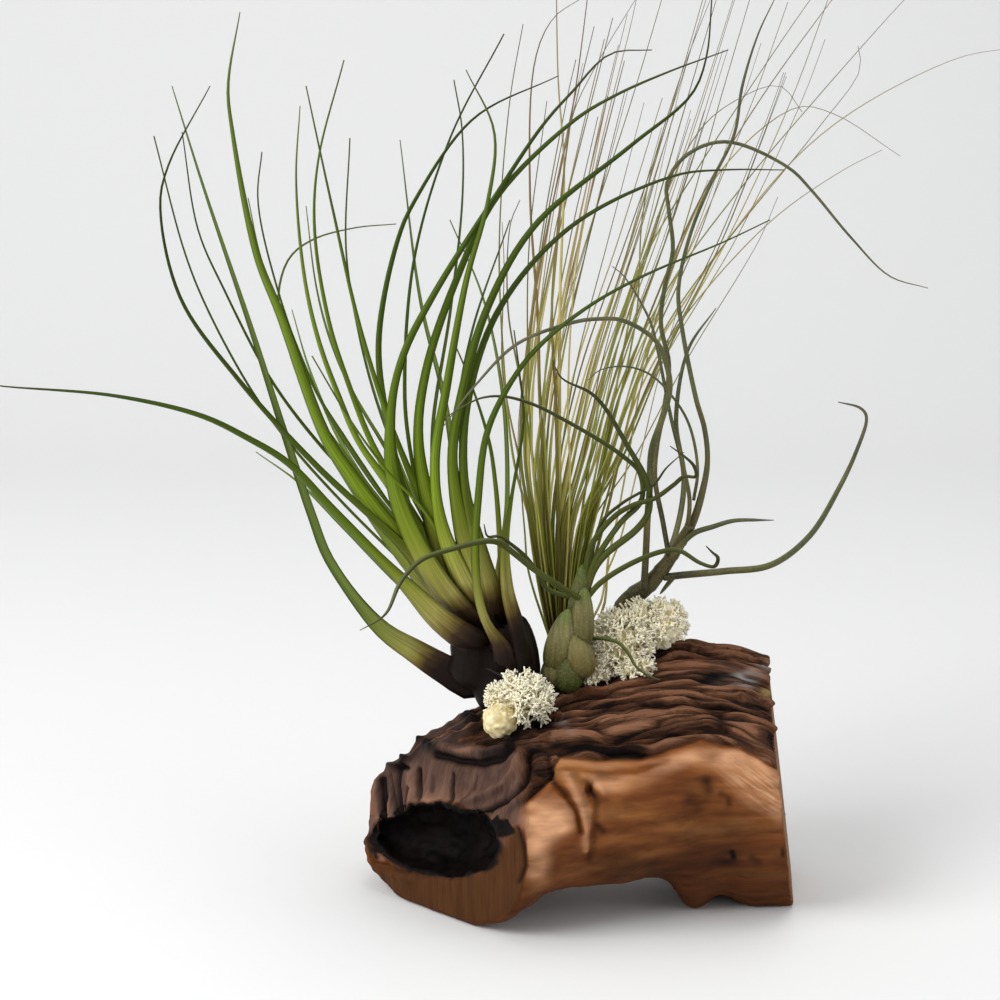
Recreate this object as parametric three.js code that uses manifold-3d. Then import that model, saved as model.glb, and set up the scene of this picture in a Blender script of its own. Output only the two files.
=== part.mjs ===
// Air plants on driftwood: four kinds of air plant and two tufts of reindeer moss, glued on a
// chunk of gnarled root wood. The wood stands on its left end and on two low feet under its
// right end. Millimetres, +Z up, +Y away from the viewer, the underside of the feet at Z = 0.
//
// The leaves are drawn as a viewer sees them. Each run of points gives across and up in mm on
// a board that stands square to the line of sight, and a depth in Y puts each point in space.
import * as THREE from 'three';
import { mergeVertices } from 'three/addons/utils/BufferGeometryUtils.js';
import Module from 'manifold-3d';

const wasm = await Module();
wasm.setup();

// ---- the viewer and the board -------------------------------------------------------------
const SIGHT_DISTANCE = 1200;                       // eye to the middle of the board
const SIGHT_DROP = THREE.MathUtils.degToRad(12);   // how far the line of sight looks down
const BOARD_HEIGHT = 213.6;                        // middle of the board above the feet
const EYE = new THREE.Vector3(
  0,
  -SIGHT_DISTANCE * Math.cos(SIGHT_DROP),
  BOARD_HEIGHT + SIGHT_DISTANCE * Math.sin(SIGHT_DROP),
);

// ---- where the whole object sits about its origin -----------------------------------------
const CENTRE = { x: 8.2, y: 59.7 };                // middle of the object's outline on the floor

// ---- clearances and thicknesses -----------------------------------------------------------
const GAP = 0.3;                                   // between neighbouring pieces
const MOSS_GAP = 0.4;                              // round what the moss is pressed against
const BLADE_THICK = 1.2;                           // at the keel of a broad leaf
const TIP_WIDE = 0.9;                              // a leaf's last width
const FINEST = 0.05;                               // slivers thinner than this are closed up
const LATE_LEAN = 1.4;                             // a leaf leans in depth late along its run
const LOBE_DETAIL = [10, 6];                       // sides round and bands up a rounded lobe

// ---- the glued seats of the four plants, on the wood --------------------------------------
const SEATS = {
  rosette: { x: 3, y: 21, z: 94, radius: 10 },
  grass: { x: 38, y: 47, z: 101, radius: 7 },
  bulb: { x: 34, y: 23, z: 99.5, radius: 6 },
  curly: { x: 60, y: 57, z: 106, radius: 6.5 },
};
const SEAT_DEEP = 30;
const SEAT_ROOM = 3.6;                             // round the dab, for the foot of the plant
const SEAT_SIDES = 12;
const GLUE_THICK = 1.6;
const GLUE_EDGE = 1;                               // how far a dab narrows towards its top

// ---- materials ----------------------------------------------------------------------------
const finish = (color, roughness) => new THREE.MeshStandardMaterial({ color, roughness, metalness: 0 });
const WOOD = finish('#8a5a38', 0.6);
const ROSETTE_GREEN = finish('#5c7a2c', 0.5);
const GRASS_OLIVE = finish('#8a8440', 0.6);
const BULB_GREEN = finish('#4a5f45', 0.55);
const CURLY_OLIVE = finish('#55523a', 0.7);
const MOSS_CREAM = finish('#e4dcb4', 0.9);
const GLUE_CLEAR = finish('#b8a98c', 0.3);

// ===========================================================================================
// Shared geometry
// ===========================================================================================

/** A seeded draw between 0 and 1, so that every build is alike. */
function drawer(seed) {
  let state = seed;
  return () => {
    state = (state * 16807) % 2147483647;
    return state / 2147483647;
  };
}

/** The point in space that a viewer sees at (across, up) on the board, at a depth in Y. */
function onSight(across, up, depth) {
  const way = new THREE.Vector3(
    across,
    SIGHT_DISTANCE * Math.cos(SIGHT_DROP) + up * Math.sin(SIGHT_DROP),
    -SIGHT_DISTANCE * Math.sin(SIGHT_DROP) + up * Math.cos(SIGHT_DROP),
  );
  return way.multiplyScalar((depth - EYE.y) / way.y).add(EYE);
}

/** A closed skin over rings with equal numbers of points, with fans over both ends. */
function skin(rings) {
  const count = rings[0].length;
  const last = (rings.length - 1) * count;
  const index = [];
  for (let r = 0; r < last; r += count) {
    for (let i = 0; i < count; i++) {
      const a = r + i;
      const b = r + (i + 1) % count;
      index.push(a, b, b + count, a, b + count, a + count);
    }
  }
  for (let i = 1; i + 1 < count; i++) {
    index.push(0, i + 1, i, last, last + i, last + i + 1);
  }
  const geometry = new THREE.BufferGeometry();
  const places = rings.flat().flatMap((point) => point.toArray());
  geometry.setAttribute('position', new THREE.Float32BufferAttribute(places, 3));
  geometry.setIndex(index);
  return geometry;
}

/** A solid for cutting and joining, from a closed geometry. */
function solid(geometry) {
  const bare = geometry.clone();
  bare.deleteAttribute('normal');
  bare.deleteAttribute('uv');
  const merged = mergeVertices(bare, 1e-5);
  return new wasm.Manifold(new wasm.Mesh({
    numProp: 3,
    vertProperties: new Float32Array(merged.attributes.position.array),
    triVerts: new Uint32Array(merged.index.array),
  }));
}

/** Joins solids to one body. Sealed gaps between them are filled and loose scraps dropped. */
function fuse(solids) {
  const bodies = wasm.Manifold.union(solids).decompose();
  return bodies.reduce((most, body) => (body.volume() > most.volume() ? body : most)).simplify(FINEST);
}

/** The named mesh of a finished solid. */
function piece(name, body, material) {
  const { vertProperties, triVerts } = body.getMesh();
  const geometry = new THREE.BufferGeometry();
  geometry.setAttribute('position', new THREE.Float32BufferAttribute(vertProperties, 3));
  geometry.setIndex(new THREE.Uint32BufferAttribute(triVerts, 1));
  geometry.computeVertexNormals();
  const mesh = new THREE.Mesh(geometry, material);
  mesh.name = name;
  return mesh;
}

/** A rounded lobe at a place on the board, its long way turned by lean, swollen by grow. */
function lobe({ at, radii, lean = 0 }, grow = 0) {
  const geometry = new THREE.SphereGeometry(1, ...LOBE_DETAIL);
  geometry.scale(...radii.map((radius) => radius + grow)).rotateY(lean);
  return solid(geometry.translate(...onSight(...at).toArray()));
}

/** A round stub standing on a height in a seat. */
function stub(seat, [top, bottom, height], low) {
  const geometry = new THREE.CylinderGeometry(top, bottom, height, SEAT_SIDES);
  geometry.rotateX(Math.PI / 2).translate(seat.x, seat.y, low + height / 2);
  return solid(geometry);
}

/** The foot that a plant stands on: [top radius, bottom radius, height] above its glue. */
function foot(seat, [top, bottom, height], grow) {
  return stub(seat, [top + grow, bottom + grow, height], seat.z + GLUE_THICK + 2 * GAP);
}

/** A tapering leaf or stem swept along a curve, with its section facing away from its plant. */
function sweep(points, section, steps) {
  const curve = new THREE.CatmullRomCurve3(points, false, 'centripetal');
  const frames = curve.computeFrenetFrames(steps, false);
  const reach = points[points.length - 1].clone().sub(points[0]);
  const side = new THREE.Vector3(0, 0, 1).cross(reach).normalize();
  const first = frames.normals[0];
  const turn = Math.atan2(side.dot(frames.binormals[0]), side.dot(first));
  const rings = [];
  for (let i = 0; i <= steps; i++) {
    const t = i / steps;
    const wide = frames.normals[i].clone().applyAxisAngle(frames.tangents[i], turn);
    const thick = frames.tangents[i].clone().cross(wide);
    const place = curve.getPointAt(t);
    rings.push(section(t).map(([w, h]) => (
      place.clone().addScaledVector(wide, w).addScaledVector(thick, h))));
  }
  return solid(skin(rings));
}

/** The section of a channelled blade: keel, edge, channel, edge. */
function channel(half, thick, rise) {
  return [[0, -thick * 0.7], [half, rise], [0, thick * 0.3], [-half, rise]];
}

/** A round section with a few sides. */
function round(radius, sides = 4) {
  return Array.from({ length: sides }, (_, i) => {
    const angle = (2 * Math.PI * i) / sides;
    return [radius * Math.cos(angle), radius * Math.sin(angle)];
  });
}

/** A leaf's run in space: from its root, along its points on the board, leaning in depth. */
function leafRun(root, leaf) {
  const count = leaf.run.length;
  const start = leaf.from ?? root.depth;
  return [onSight(root.across, root.up, root.depth), ...leaf.run.map(([across, up], i) => (
    onSight(across, up, start + leaf.lean * ((i + 1) / count) ** LATE_LEAN)))];
}

// ===========================================================================================
// The driftwood: a lofted chunk of root, sawn at its right end and slanted at its left
// ===========================================================================================

// Each station gives nine points (y, z) round the section: the back top, two on the top, the
// front top edge, the middle of the front, its lower edge, the underside, the back foot and
// the middle of the back.
const WOOD_STATIONS = [
  { x: -72,
    ring: [[44, 43], [40, 45], [35, 43], [29, 39], [26, 34], [28, 28], [36, 24], [46, 26], [50, 35]] },
  { x: -66,
    ring: [[40, 59], [26, 61], [10, 59], [-6, 54], [-14, 40], [-8, 20], [18, 9], [50, 12], [62, 38]] },
  { x: -45,
    ring: [[40, 74], [20, 77], [0, 78], [-24, 72], [-36, 45], [-28, 4], [5, -3], [48, 5], [70, 42]] },
  { x: -20,
    ring: [[44, 87], [15, 90], [-10, 88], [-36, 84], [-50, 50], [-42, 3], [0, -3], [46, -2], [76, 46]] },
  { x: 5,
    ring: [[50, 96], [15, 98], [-12, 97], [-39, 94], [-59, 60], [-55, 16], [-8, 2], [46, 3], [78, 50]] },
  { x: 30,
    ring: [[56, 104], [18, 104], [-15, 100], [-49, 95], [-58, 62], [-46, 26], [0, 21], [48, 23], [80, 56]] },
  { x: 60,
    ring: [[60, 111], [18, 111], [-15, 105], [-46, 94], [-53, 62], [-34, 24], [5, 20], [50, 25], [82, 62]] },
  { x: 82,
    ring: [[62, 118], [21, 116], [-13, 109], [-44, 97], [-49, 62], [-22, 22], [10, 19], [50, 21], [82, 64]] },
  { x: 99,
    ring: [[62, 120], [22, 118], [-12, 110], [-42, 99], [-44, 62], [-12, 1], [14, -3], [50, -1], [80, 64]] },
  { x: 113,
    ring: [[62, 119], [22, 117], [-12, 109], [-42, 99], [-43, 60], [-11, 9], [14, 7], [50, 6], [78, 62]] },
  { x: 128,
    ring: [[60, 117], [22, 114], [-12, 105], [-41, 94], [-41, 57], [-9, 2], [16, -3], [48, -2], [74, 60]] },
  { x: 158,
    ring: [[57, 111], [22, 106], [-12, 93], [-39, 79], [-37, 52], [-5, 1], [18, -3], [46, -2], [70, 58]] },
];
const WOOD_STEPS = 26;
const WOOD_SIDES = 34;
const RIDGES = {
  spacing: 15,                                     // between the weathered ridges on the top
  height: 1.8,
  fade: [58, 84],                                  // the heights over which they grow to full
  front: 0.42,                                     // share of the ring where the top ends
  sways: [{ by: 3, every: 132, shift: 0 }, { by: 2, every: 57, shift: 1 }],
};
const BLOCK = 400;                                 // larger than the wood every way
const RIGHT_CUT = { at: [147, 0, 40], turn: -5.2, tip: 7.5, side: 1 };
const LEFT_CUT = { at: [-29, -19, 0], turn: 45, tip: 0, side: -1 };
const SLAB_CUT = { at: [10, -58, 63], turn: 41, tip: -18, side: -1 };   // above the rotted heart
const HEART = { at: [-30.2, -11.8, 39.5], radii: [22, 46, 18], dip: 12, detail: [16, 10] };
// Worn flutes down the slab: [along it, up it] in the plane of its cut.
const FLUTES = [[17, 17], [33, 14], [48, 8], [64, 2], [80, -5]];
const FLUTE = { radii: [2.2, 5.5, 21], detail: [8, 5] };
const KNOT = { at: [44, -54, 80], radii: [3.4, 7, 6], detail: [8, 6] };

/** The guide lines that run along the wood, each through the same point of every station. */
const guides = WOOD_STATIONS[0].ring.map((_, k) => {
  const through = WOOD_STATIONS.map(({ x, ring }) => new THREE.Vector3(x, ...ring[k]));
  return new THREE.CatmullRomCurve3(through, false, 'catmullrom');
});

/** How far the weathered ridges lift the wood: only on its top, which the front edge ends. */
function ridge(point, share) {
  const onTop = share < RIDGES.front ? THREE.MathUtils.smoothstep(point.z, ...RIDGES.fade) : 0;
  const sway = RIDGES.sways.reduce((sum, { by, every, shift }) => (
    sum + by * Math.sin((2 * Math.PI * point.x) / every + shift)), 0);
  return RIDGES.height * onTop * Math.sin((2 * Math.PI * (point.y + sway)) / RIDGES.spacing);
}

/** Turns a geometry that is drawn about the YZ plane onto the plane of a cut. */
function ontoCut(geometry, { at, turn, tip }) {
  geometry.rotateY(THREE.MathUtils.degToRad(-tip));
  geometry.rotateZ(THREE.MathUtils.degToRad(turn));
  return geometry.translate(...at);
}

/** The block beyond a cut. */
function beyond(cut) {
  const block = new THREE.BoxGeometry(BLOCK, BLOCK, BLOCK);
  return solid(ontoCut(block.translate((cut.side * BLOCK) / 2, 0, 0), cut));
}

/** An ellipsoid to hollow the wood with. */
function hollow({ radii, detail }) {
  return new THREE.SphereGeometry(1, ...detail).scale(...radii);
}

function driftwood() {
  const rings = [];
  for (let step = 0; step <= WOOD_STEPS; step++) {
    const around = guides.map((guide) => guide.getPoint(step / WOOD_STEPS));
    const outline = new THREE.CatmullRomCurve3(around, true, 'centripetal');
    rings.push(Array.from({ length: WOOD_SIDES }, (_, i) => {
      const point = outline.getPoint(i / WOOD_SIDES);
      point.z += ridge(point, i / WOOD_SIDES);
      return point;
    }));
  }
  const floor = new THREE.BoxGeometry(BLOCK, BLOCK, BLOCK).translate(0, 0, -BLOCK / 2);
  const heart = hollow(HEART).rotateX(THREE.MathUtils.degToRad(-HEART.dip));
  heart.rotateZ(THREE.MathUtils.degToRad(LEFT_CUT.turn));
  const cuts = [
    ...[RIGHT_CUT, LEFT_CUT, SLAB_CUT].map(beyond),
    ...FLUTES.map(([along, up]) => solid(ontoCut(hollow(FLUTE).translate(0, along, up), SLAB_CUT))),
    solid(heart.translate(...HEART.at)),
    solid(hollow(KNOT).translate(...KNOT.at)),
    solid(floor),
    ...Object.values(SEATS).map(pocket),
  ];
  return cuts.reduce((wood, cut) => wood.subtract(cut), solid(skin(rings)));
}

/** The round pocket that a seat needs in the wood, open upward. */
function pocket(seat) {
  const wide = seat.radius + SEAT_ROOM;
  return stub(seat, [wide, wide, SEAT_DEEP], seat.z);
}

// ===========================================================================================
// The rosette: broad channelled leaves whose dark bases clasp a leaning heart
// ===========================================================================================

const ROSETTE_ROOT = { across: -2, up: -76, depth: 23 };
const ROSETTE_HEART = [
  { at: [-2, -70, 23], radii: [22, 19, 27], lean: -0.3 },
  { at: [-15, -80, 21], radii: [20, 14, 11], lean: 0.55 },
  { at: [8, -66, 24], radii: [12, 14, 22], lean: 0 },
];
const ROSETTE_LEAVES = [
  { wide: 10, lean: 12, run: [[-25, -86], [-42, -77], [-60, -63], [-85, -30], [-94, -7], [-108, 35],
    [-124, 85], [-148, 156], [-164, 207]] },
  { wide: 11, lean: -32, run: [[-15, -67], [-46, -40], [-85, -3], [-106, 18], [-127, 31], [-150, 42],
    [-193, 52], [-250, 57], [-262, 59]] },
  { wide: 8, lean: -25, run: [[-30, -46], [-49, -23], [-92, 17], [-131, 60], [-160, 101], [-170, 147],
    [-166, 167], [-145, 207]] },
  { wide: 5, lean: 45, run: [[-50, -30], [-80, 0], [-105, 28], [-125, 56], [-147, 97], [-158, 125],
    [-173, 182]] },
  { wide: 5, lean: 22, run: [[-40, -35], [-60, -4], [-89, 26], [-114, 59], [-138, 105], [-151, 135],
    [-159, 184]] },
  { wide: 14, lean: -10, run: [[-34, -42], [-55, -15], [-75, 11], [-88, 32], [-110, 92], [-122, 123],
    [-134, 185], [-136, 207], [-130, 244]] },
  { wide: 6, lean: 32, run: [[-37, -30], [-57, 0], [-77, 30], [-94, 58], [-112, 108], [-121, 150],
    [-119, 174]] },
  { wide: 6, lean: 58, run: [[-40, -22], [-65, 10], [-90, 50], [-107, 90], [-119, 119], [-126, 151]] },
  { wide: 6, lean: 100, run: [[-45, -20], [-72, 15], [-94, 46], [-105, 73], [-111, 100], [-106, 120],
    [-94, 130], [-73, 136], [-52, 138]] },
  { wide: 8, lean: -38, run: [[-35, -25], [-52, 2], [-71, 29], [-81, 52], [-91, 80], [-98, 112],
    [-102, 160], [-100, 197]] },
  { wide: 10, lean: 6, run: [[-32, -30], [-49, 0], [-65, 29], [-76, 57], [-86, 89], [-93, 135],
    [-91, 170], [-78, 220]] },
  { wide: 10, lean: -20, run: [[-25, -40], [-36, -11], [-48, 19], [-58, 45], [-71, 88], [-84, 146],
    [-97, 207]] },
  { wide: 5, lean: 66, run: [[-30, -25], [-47, 10], [-62, 50], [-71, 85], [-77, 125], [-75, 181]] },
  { wide: 6, lean: 88, run: [[-32, -20], [-57, 25], [-74, 54], [-85, 80], [-92, 107], [-97, 147]] },
  { wide: 5, lean: -52, run: [[-35, -10], [-57, 15], [-75, 40], [-94, 72]] },
  { wide: 10, lean: 14, run: [[-27, -42], [-44, -15], [-55, 30], [-61, 78], [-51, 131], [-42, 151],
    [-13, 191], [29, 212]] },
  { wide: 14, lean: -48, run: [[-27, -50], [-42, -25], [-54, 8], [-55, 45], [-49, 72], [-35, 100],
    [-5, 148], [21, 187], [36, 204], [55, 223], [76, 225]] },
  { wide: 7, lean: 42, run: [[-25, -40], [-36, -15], [-46, 30], [-48, 59], [-43, 121], [-25, 181],
    [2, 233]] },
  { wide: 10, lean: -62, run: [[-22, -42], [-34, -10], [-41, 30], [-37, 65], [-22, 110], [-2, 151],
    [36, 189], [57, 202], [84, 214], [114, 225]] },
  { wide: 10, lean: -14, run: [[-20, -40], [-30, -12], [-33, 20], [-27, 57], [-17, 110], [-6, 150],
    [-3, 184], [-17, 215]] },
  { wide: 7, lean: 105, run: [[-22, -35], [-32, 0], [-34, 35], [-25, 95], [-19, 149], [-19, 185],
    [-23, 210]] },
  { wide: 10, lean: -84, run: [[-10, -45], [-19, -15], [-24, 20], [-20, 50], [-7, 95], [17, 137],
    [65, 177], [95, 202], [103, 221], [106, 252]] },
  { wide: 9, lean: -66, run: [[-5, -50], [-11, -25], [-18, 10], [-16, 50], [0, 96], [36, 137],
    [87, 162], [112, 165], [142, 165]] },
  { wide: 9, lean: -48, from: 2, run: [[7, -71], [-5, -61], [-11, -51], [-13, -32], [-11, 0], [-6, 35],
    [9, 64], [22, 79], [45, 97], [72, 112], [112, 129], [135, 140]] },
  { wide: 8, lean: 34, run: [[6, -55], [2, -30], [-3, 10], [-6, 30], [-16, 62], [-24, 81]] },
  { wide: 9, lean: 8, run: [[12, -65], [5, -45], [4, -22], [6, 0], [12, 40], [10, 62], [7, 85]] },
  { wide: 8, lean: 64, run: [[-2, -50], [-10, -25], [-19, 22], [-21, 45], [-14, 85], [5, 140]] },
  { wide: 10, lean: 150, run: [[-10, -40], [-20, 0], [-28, 50], [-40, 100], [-50, 180]] },
  { wide: 9, lean: 135, run: [[0, -45], [4, 0], [2, 50], [-8, 100], [-25, 140]] },
  { wide: 9, lean: 138, run: [[-30, -45], [-55, -10], [-80, 30], [-95, 65], [-104, 95]] },
  { wide: 9, lean: 120, run: [[-28, -60], [-50, -42], [-78, -14], [-100, 8], [-122, 24]] },
];
const ROSETTE_STEPS = 8;
const ROSETTE_FOOT = [15, 10, 30];
const CLASP = { wider: 0.8, from: 0.04, to: 0.26 };   // the base of a leaf, shares of its length
const BROAD = { taper: 0.75, thinner: 0.35, rise: 0.3 };

/** A rosette leaf's half width: widest where it clasps the heart, then a long even taper. */
function broadHalf(wide, t) {
  const clasp = 1 + CLASP.wider * (1 - THREE.MathUtils.smoothstep(t, CLASP.from, CLASP.to));
  return TIP_WIDE / 2 + (wide / 2) * clasp * (1 - t) ** BROAD.taper;
}

function rosettePlant(grow = 0) {
  const leaves = ROSETTE_LEAVES.map((leaf) => sweep(leafRun(ROSETTE_ROOT, leaf), (t) => {
    const half = broadHalf(leaf.wide, t) + grow;
    return channel(half, BLADE_THICK * (1 - BROAD.thinner * t) + 2 * grow, half * BROAD.rise);
  }, ROSETTE_STEPS));
  const heart = ROSETTE_HEART.map((lump) => lobe(lump, grow));
  return fuse([...heart, foot(SEATS.rosette, ROSETTE_FOOT, grow), ...leaves]);
}

// ===========================================================================================
// The grassy tuft: thin rush-like leaves fanning up and to the right from a narrow sheath
// ===========================================================================================

const GRASS_ROOT = { across: 37, up: -86, depth: 47 };
const GRASS_LEAVES = [
  { lean: 60, run: [[45, -30], [56, 10], [70, 55], [91, 90], [135, 139], [170, 164], [191, 175]] },
  { lean: 84, run: [[45, -20], [56, 25], [72, 65], [91, 97], [141, 164], [176, 194], [229, 221],
    [256, 226]] },
  { lean: 42, run: [[50, 0], [65, 50], [85, 90], [110, 125], [160, 187], [180, 215], [179, 227]] },
  { lean: 25, run: [[47, 10], [57, 50], [84, 106], [122, 158], [154, 196], [202, 250], [217, 265]] },
  { lean: 100, run: [[45, -20], [55, 35], [70, 80], [100, 150], [130, 200], [166, 250], [180, 267]] },
  { lean: 55, run: [[45, 20], [52, 60], [72, 120], [99, 166], [155, 250], [172, 272]] },
  { lean: 15, run: [[22, 50], [25, 85], [31, 150], [36, 191], [49, 219], [75, 262]] },
  { lean: 34, run: [[28, 50], [26, 95], [32, 164], [40, 221], [46, 270]] },
  { lean: 120, run: [[20, 50], [19, 90], [15, 154], [17, 217], [26, 240], [41, 251]] },
  { lean: 130, run: [[30, 100], [32, 165], [29, 212], [28, 275]] },
  { lean: 30, run: [[22, 10], [15, 55], [8, 95], [4, 117], [1, 139]] },
  { lean: 70, run: [[20, 15], [10, 60], [4, 95], [5, 137], [10, 150]] },
  { lean: 12, run: [[35, 10], [34, 50], [38, 115], [51, 180], [66, 240], [71, 265]] },
  { lean: 38, run: [[42, -30], [50, 10], [68, 90], [72, 147], [88, 205], [107, 255]] },
  { lean: 92, run: [[45, -10], [55, 40], [75, 130], [100, 185], [122, 202], [140, 207], [151, 194]] },
  { lean: 140, run: [[50, -20], [75, 80], [105, 157], [145, 195], [167, 193], [200, 172]] },
];
const GRASS_FAN = {
  count: 26,
  seed: 7,
  across: [8, 142],                                // where the tips end, left and right
  crowd: 1.25,                                     // above 1, more tips end on the left
  up: [150, 262],
  lean: [-5, 150],
  roots: 18,                                       // how wide the fan starts
  curve: [[0, 0.08], [0.1, 0.24], [0.3, 0.48], [0.62, 0.76], [1, 1]],   // [outward, upward]
};
const GRASS_STEPS = 6;
const GRASS_WIDE = 3.2;
const GRASS_TAPER = 0.6;
const GRASS_FOOT = [9, 7, 14];
const GRASS_SHEATH = { at: [37, -72, 47], radii: [10.5, 9, 22] };

/** More leaves of the fan, each a slow outward curve with its own root, length and lean. */
function grassFan() {
  const draw = drawer(GRASS_FAN.seed);
  return Array.from({ length: GRASS_FAN.count }, (_, i) => {
    const spread = (i + draw()) / GRASS_FAN.count;
    const tip = THREE.MathUtils.lerp(...GRASS_FAN.across, spread ** GRASS_FAN.crowd);
    const rise = THREE.MathUtils.lerp(...GRASS_FAN.up, draw()) - GRASS_ROOT.up;
    const lean = THREE.MathUtils.lerp(...GRASS_FAN.lean, draw());
    const start = GRASS_ROOT.across + GRASS_FAN.roots * (spread - 0.5);
    const run = GRASS_FAN.curve.map(([outward, upward]) => (
      [THREE.MathUtils.lerp(start, tip, outward), GRASS_ROOT.up + rise * upward]));
    return { lean, run };
  });
}

/** A rush-like leaf's section: keel and two edges. */
function keeled(half) {
  const rise = 0.25 * half + 0.2;
  return [[0, -0.6 * half - 0.3], [half, rise], [-half, rise]];
}

function grassyPlant(grow = 0) {
  const leaves = [...GRASS_LEAVES, ...grassFan()].map((leaf) => (
    sweep(leafRun(GRASS_ROOT, leaf), (t) => (
      keeled(grow + TIP_WIDE / 2 + (GRASS_WIDE / 2) * (1 - t) ** GRASS_TAPER)), GRASS_STEPS)));
  return fuse([lobe(GRASS_SHEATH, grow), foot(SEATS.grass, GRASS_FOOT, grow), ...leaves]);
}

// ===========================================================================================
// The bulb plant: overlapping sheaths that form a bulb, with round tentacle-like leaves
// ===========================================================================================

const BULB_ROOT = { across: 42, up: -50, depth: 21 };
const BULB_LEAVES = [
  { thick: 5, lean: -66, from: -2, run: [[26, -40], [17, -34], [7, -26], [0, -21], [-7, -20], [-24, -24],
    [-40, -30], [-50, -41], [-56, -55], [-61, -60], [-70, -65]] },
  { thick: 4, lean: -36, run: [[24, -44], [19, -36], [13, -28], [6, -22], [0, -18], [-6, -18], [-8, -12]] },
  { thick: 5, lean: -40, run: [[50, -41], [66, -31], [82, -25], [90, -25], [100, -31], [107, -33],
    [109, -29], [106, -26], [103, -23]] },
  { thick: 4.6, lean: -48, run: [[45, -24], [57, -8], [67, -2], [77, 1], [87, 8], [92, 12], [98, 12],
    [97, 17], [92, 22], [85, 27]] },
  { thick: 5.4, lean: -30, run: [[47, -35], [53, -27], [68, -15], [74, -7], [75, 2], [73, 11], [64, 27],
    [52, 47], [45, 54], [31, 61], [26, 70]] },
  { thick: 2.4, lean: -22, run: [[50, -12], [60, -2], [70, 4], [77, 8], [83, 16], [92, 24]] },
  { thick: 4, lean: -46, run: [[46, -34], [60, -12], [71, 0], [70, 14], [62, 22], [52, 29], [33, 40],
    [17, 48], [2, 52], [-10, 51], [-23, 44], [-28, 41]] },
  { thick: 2.4, lean: -22, run: [[46, -68], [52, -69], [59, -71], [64, -76], [68, -83], [75, -88],
    [80, -90]] },
];
const BULB_SHEATHS = [
  { at: [34.5, -75, 23], radii: [11.5, 11.5, 20], lean: 0 },
  { at: [29.5, -67, 16], radii: [8.5, 8, 15], lean: 0.15 },
  { at: [27.5, -87, 18], radii: [7, 7, 8.5], lean: 0.2 },
  { at: [35, -86, 14], radii: [7.5, 7, 11], lean: -0.1 },
  { at: [40.5, -80, 17], radii: [9, 9, 10.5], lean: -0.2 },
  { at: [42, -62, 20], radii: [7, 7, 13], lean: 0.1 },
  { at: [38.5, -54, 22], radii: [7, 7, 12], lean: 0.1 },
];
const BULB_STEPS = 15;
const BULB_FOOT = [8, 6, 12];
const TENTACLE_TAPER = 0.7;

/** The section of a round leaf, a share t of the way to its tip. */
function tentacle(thick, t, grow) {
  return round(grow + TIP_WIDE / 2 + (thick / 2) * (1 - t) ** TENTACLE_TAPER);
}

function bulbPlant(grow = 0) {
  const leaves = BULB_LEAVES.map((leaf) => (
    sweep(leafRun(BULB_ROOT, leaf), (t) => tentacle(leaf.thick, t, grow), BULB_STEPS)));
  const sheaths = BULB_SHEATHS.map((sheath) => lobe(sheath, grow));
  return fuse([...sheaths, foot(SEATS.bulb, BULB_FOOT, grow), ...leaves]);
}

// ===========================================================================================
// The curly plant: a thick leaning stem whose sheaths open into long curling leaves
// ===========================================================================================

const CURLY_ROOT = { across: 57, up: -80, depth: 57 };
const CURLY_STEM = {
  radius: 6.4,
  thinner: 0.45,                                   // at its tip, as a share of the radius
  steps: 10,
  sides: 8,
  run: [[58, -70, 56], [64, -56, 52], [74, -44, 45], [84, -33, 36], [92, -20, 30]],
};
const CURLY_LEAVES = [
  { thick: 7.5, lean: -40, from: 40, run: [[84, -33], [93, -15], [100, 5], [103, 20], [101, 36], [98, 50],
    [91, 85], [89, 105], [95, 133], [106, 160], [117, 183], [121, 207], [129, 233], [138, 252]] },
  { thick: 7, lean: -26, from: 38, run: [[84, -28], [81, -11], [77, 11], [78, 27], [82, 48], [84, 68],
    [80, 88], [82, 107], [86, 125], [84, 145], [83, 158], [90, 170], [103, 178], [117, 179], [145, 166],
    [156, 155], [176, 131], [195, 112], [214, 106]] },
  { thick: 6.5, lean: -84, from: 42, run: [[72, -45], [73, -30], [74, -8], [75, 5], [76, 25], [81, 40],
    [85, 55], [84, 66], [78, 80], [62, 90], [50, 91], [36, 89], [8, 78], [-12, 58], [-29, 36]] },
  { thick: 4.6, lean: -22, from: 36, run: [[91, -22], [94, -12], [95, 0], [93, 12], [86, 40], [79, 75],
    [75, 90], [62, 112], [56, 117]] },
  { thick: 3, lean: -30, from: 30, run: [[97, 0], [99, 15], [95, 37], [87, 51], [75, 63], [62, 67],
    [50, 65], [44, 60]] },
  { thick: 5, lean: -24, from: 38, run: [[86, -27], [90, -22], [97, -16], [106, -13], [117, -10],
    [137, -10]] },
  { thick: 6, lean: -40, from: 42, run: [[82, -36], [90, -36], [112, -35], [135, -32], [154, -18],
    [169, 6], [178, 25], [183, 41], [180, 46], [169, 49]] },
  { thick: 3, lean: -8, from: 46, run: [[84, -38], [82, -42], [80, -47]] },
  { thick: 5, lean: 62, from: 50, run: [[80, -36], [88, -16], [92, 10], [88, 40], [94, 75], [108, 96]] },
  { thick: 4.5, lean: 90, from: 50, run: [[78, -38], [74, -14], [62, 14], [58, 46], [66, 72]] },
];
const CURLY_STEPS = 17;
const CURLY_LEAN = 1.2;
const CURLY_FOOT = [7, 6, 16];

function curlyStem(grow) {
  const { run, radius, thinner, steps, sides } = CURLY_STEM;
  const root = onSight(CURLY_ROOT.across, CURLY_ROOT.up, CURLY_ROOT.depth);
  const points = [root, ...run.map((point) => onSight(...point))];
  return sweep(points, (t) => round(grow + radius * (1 - thinner * t ** 2), sides), steps);
}

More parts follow.
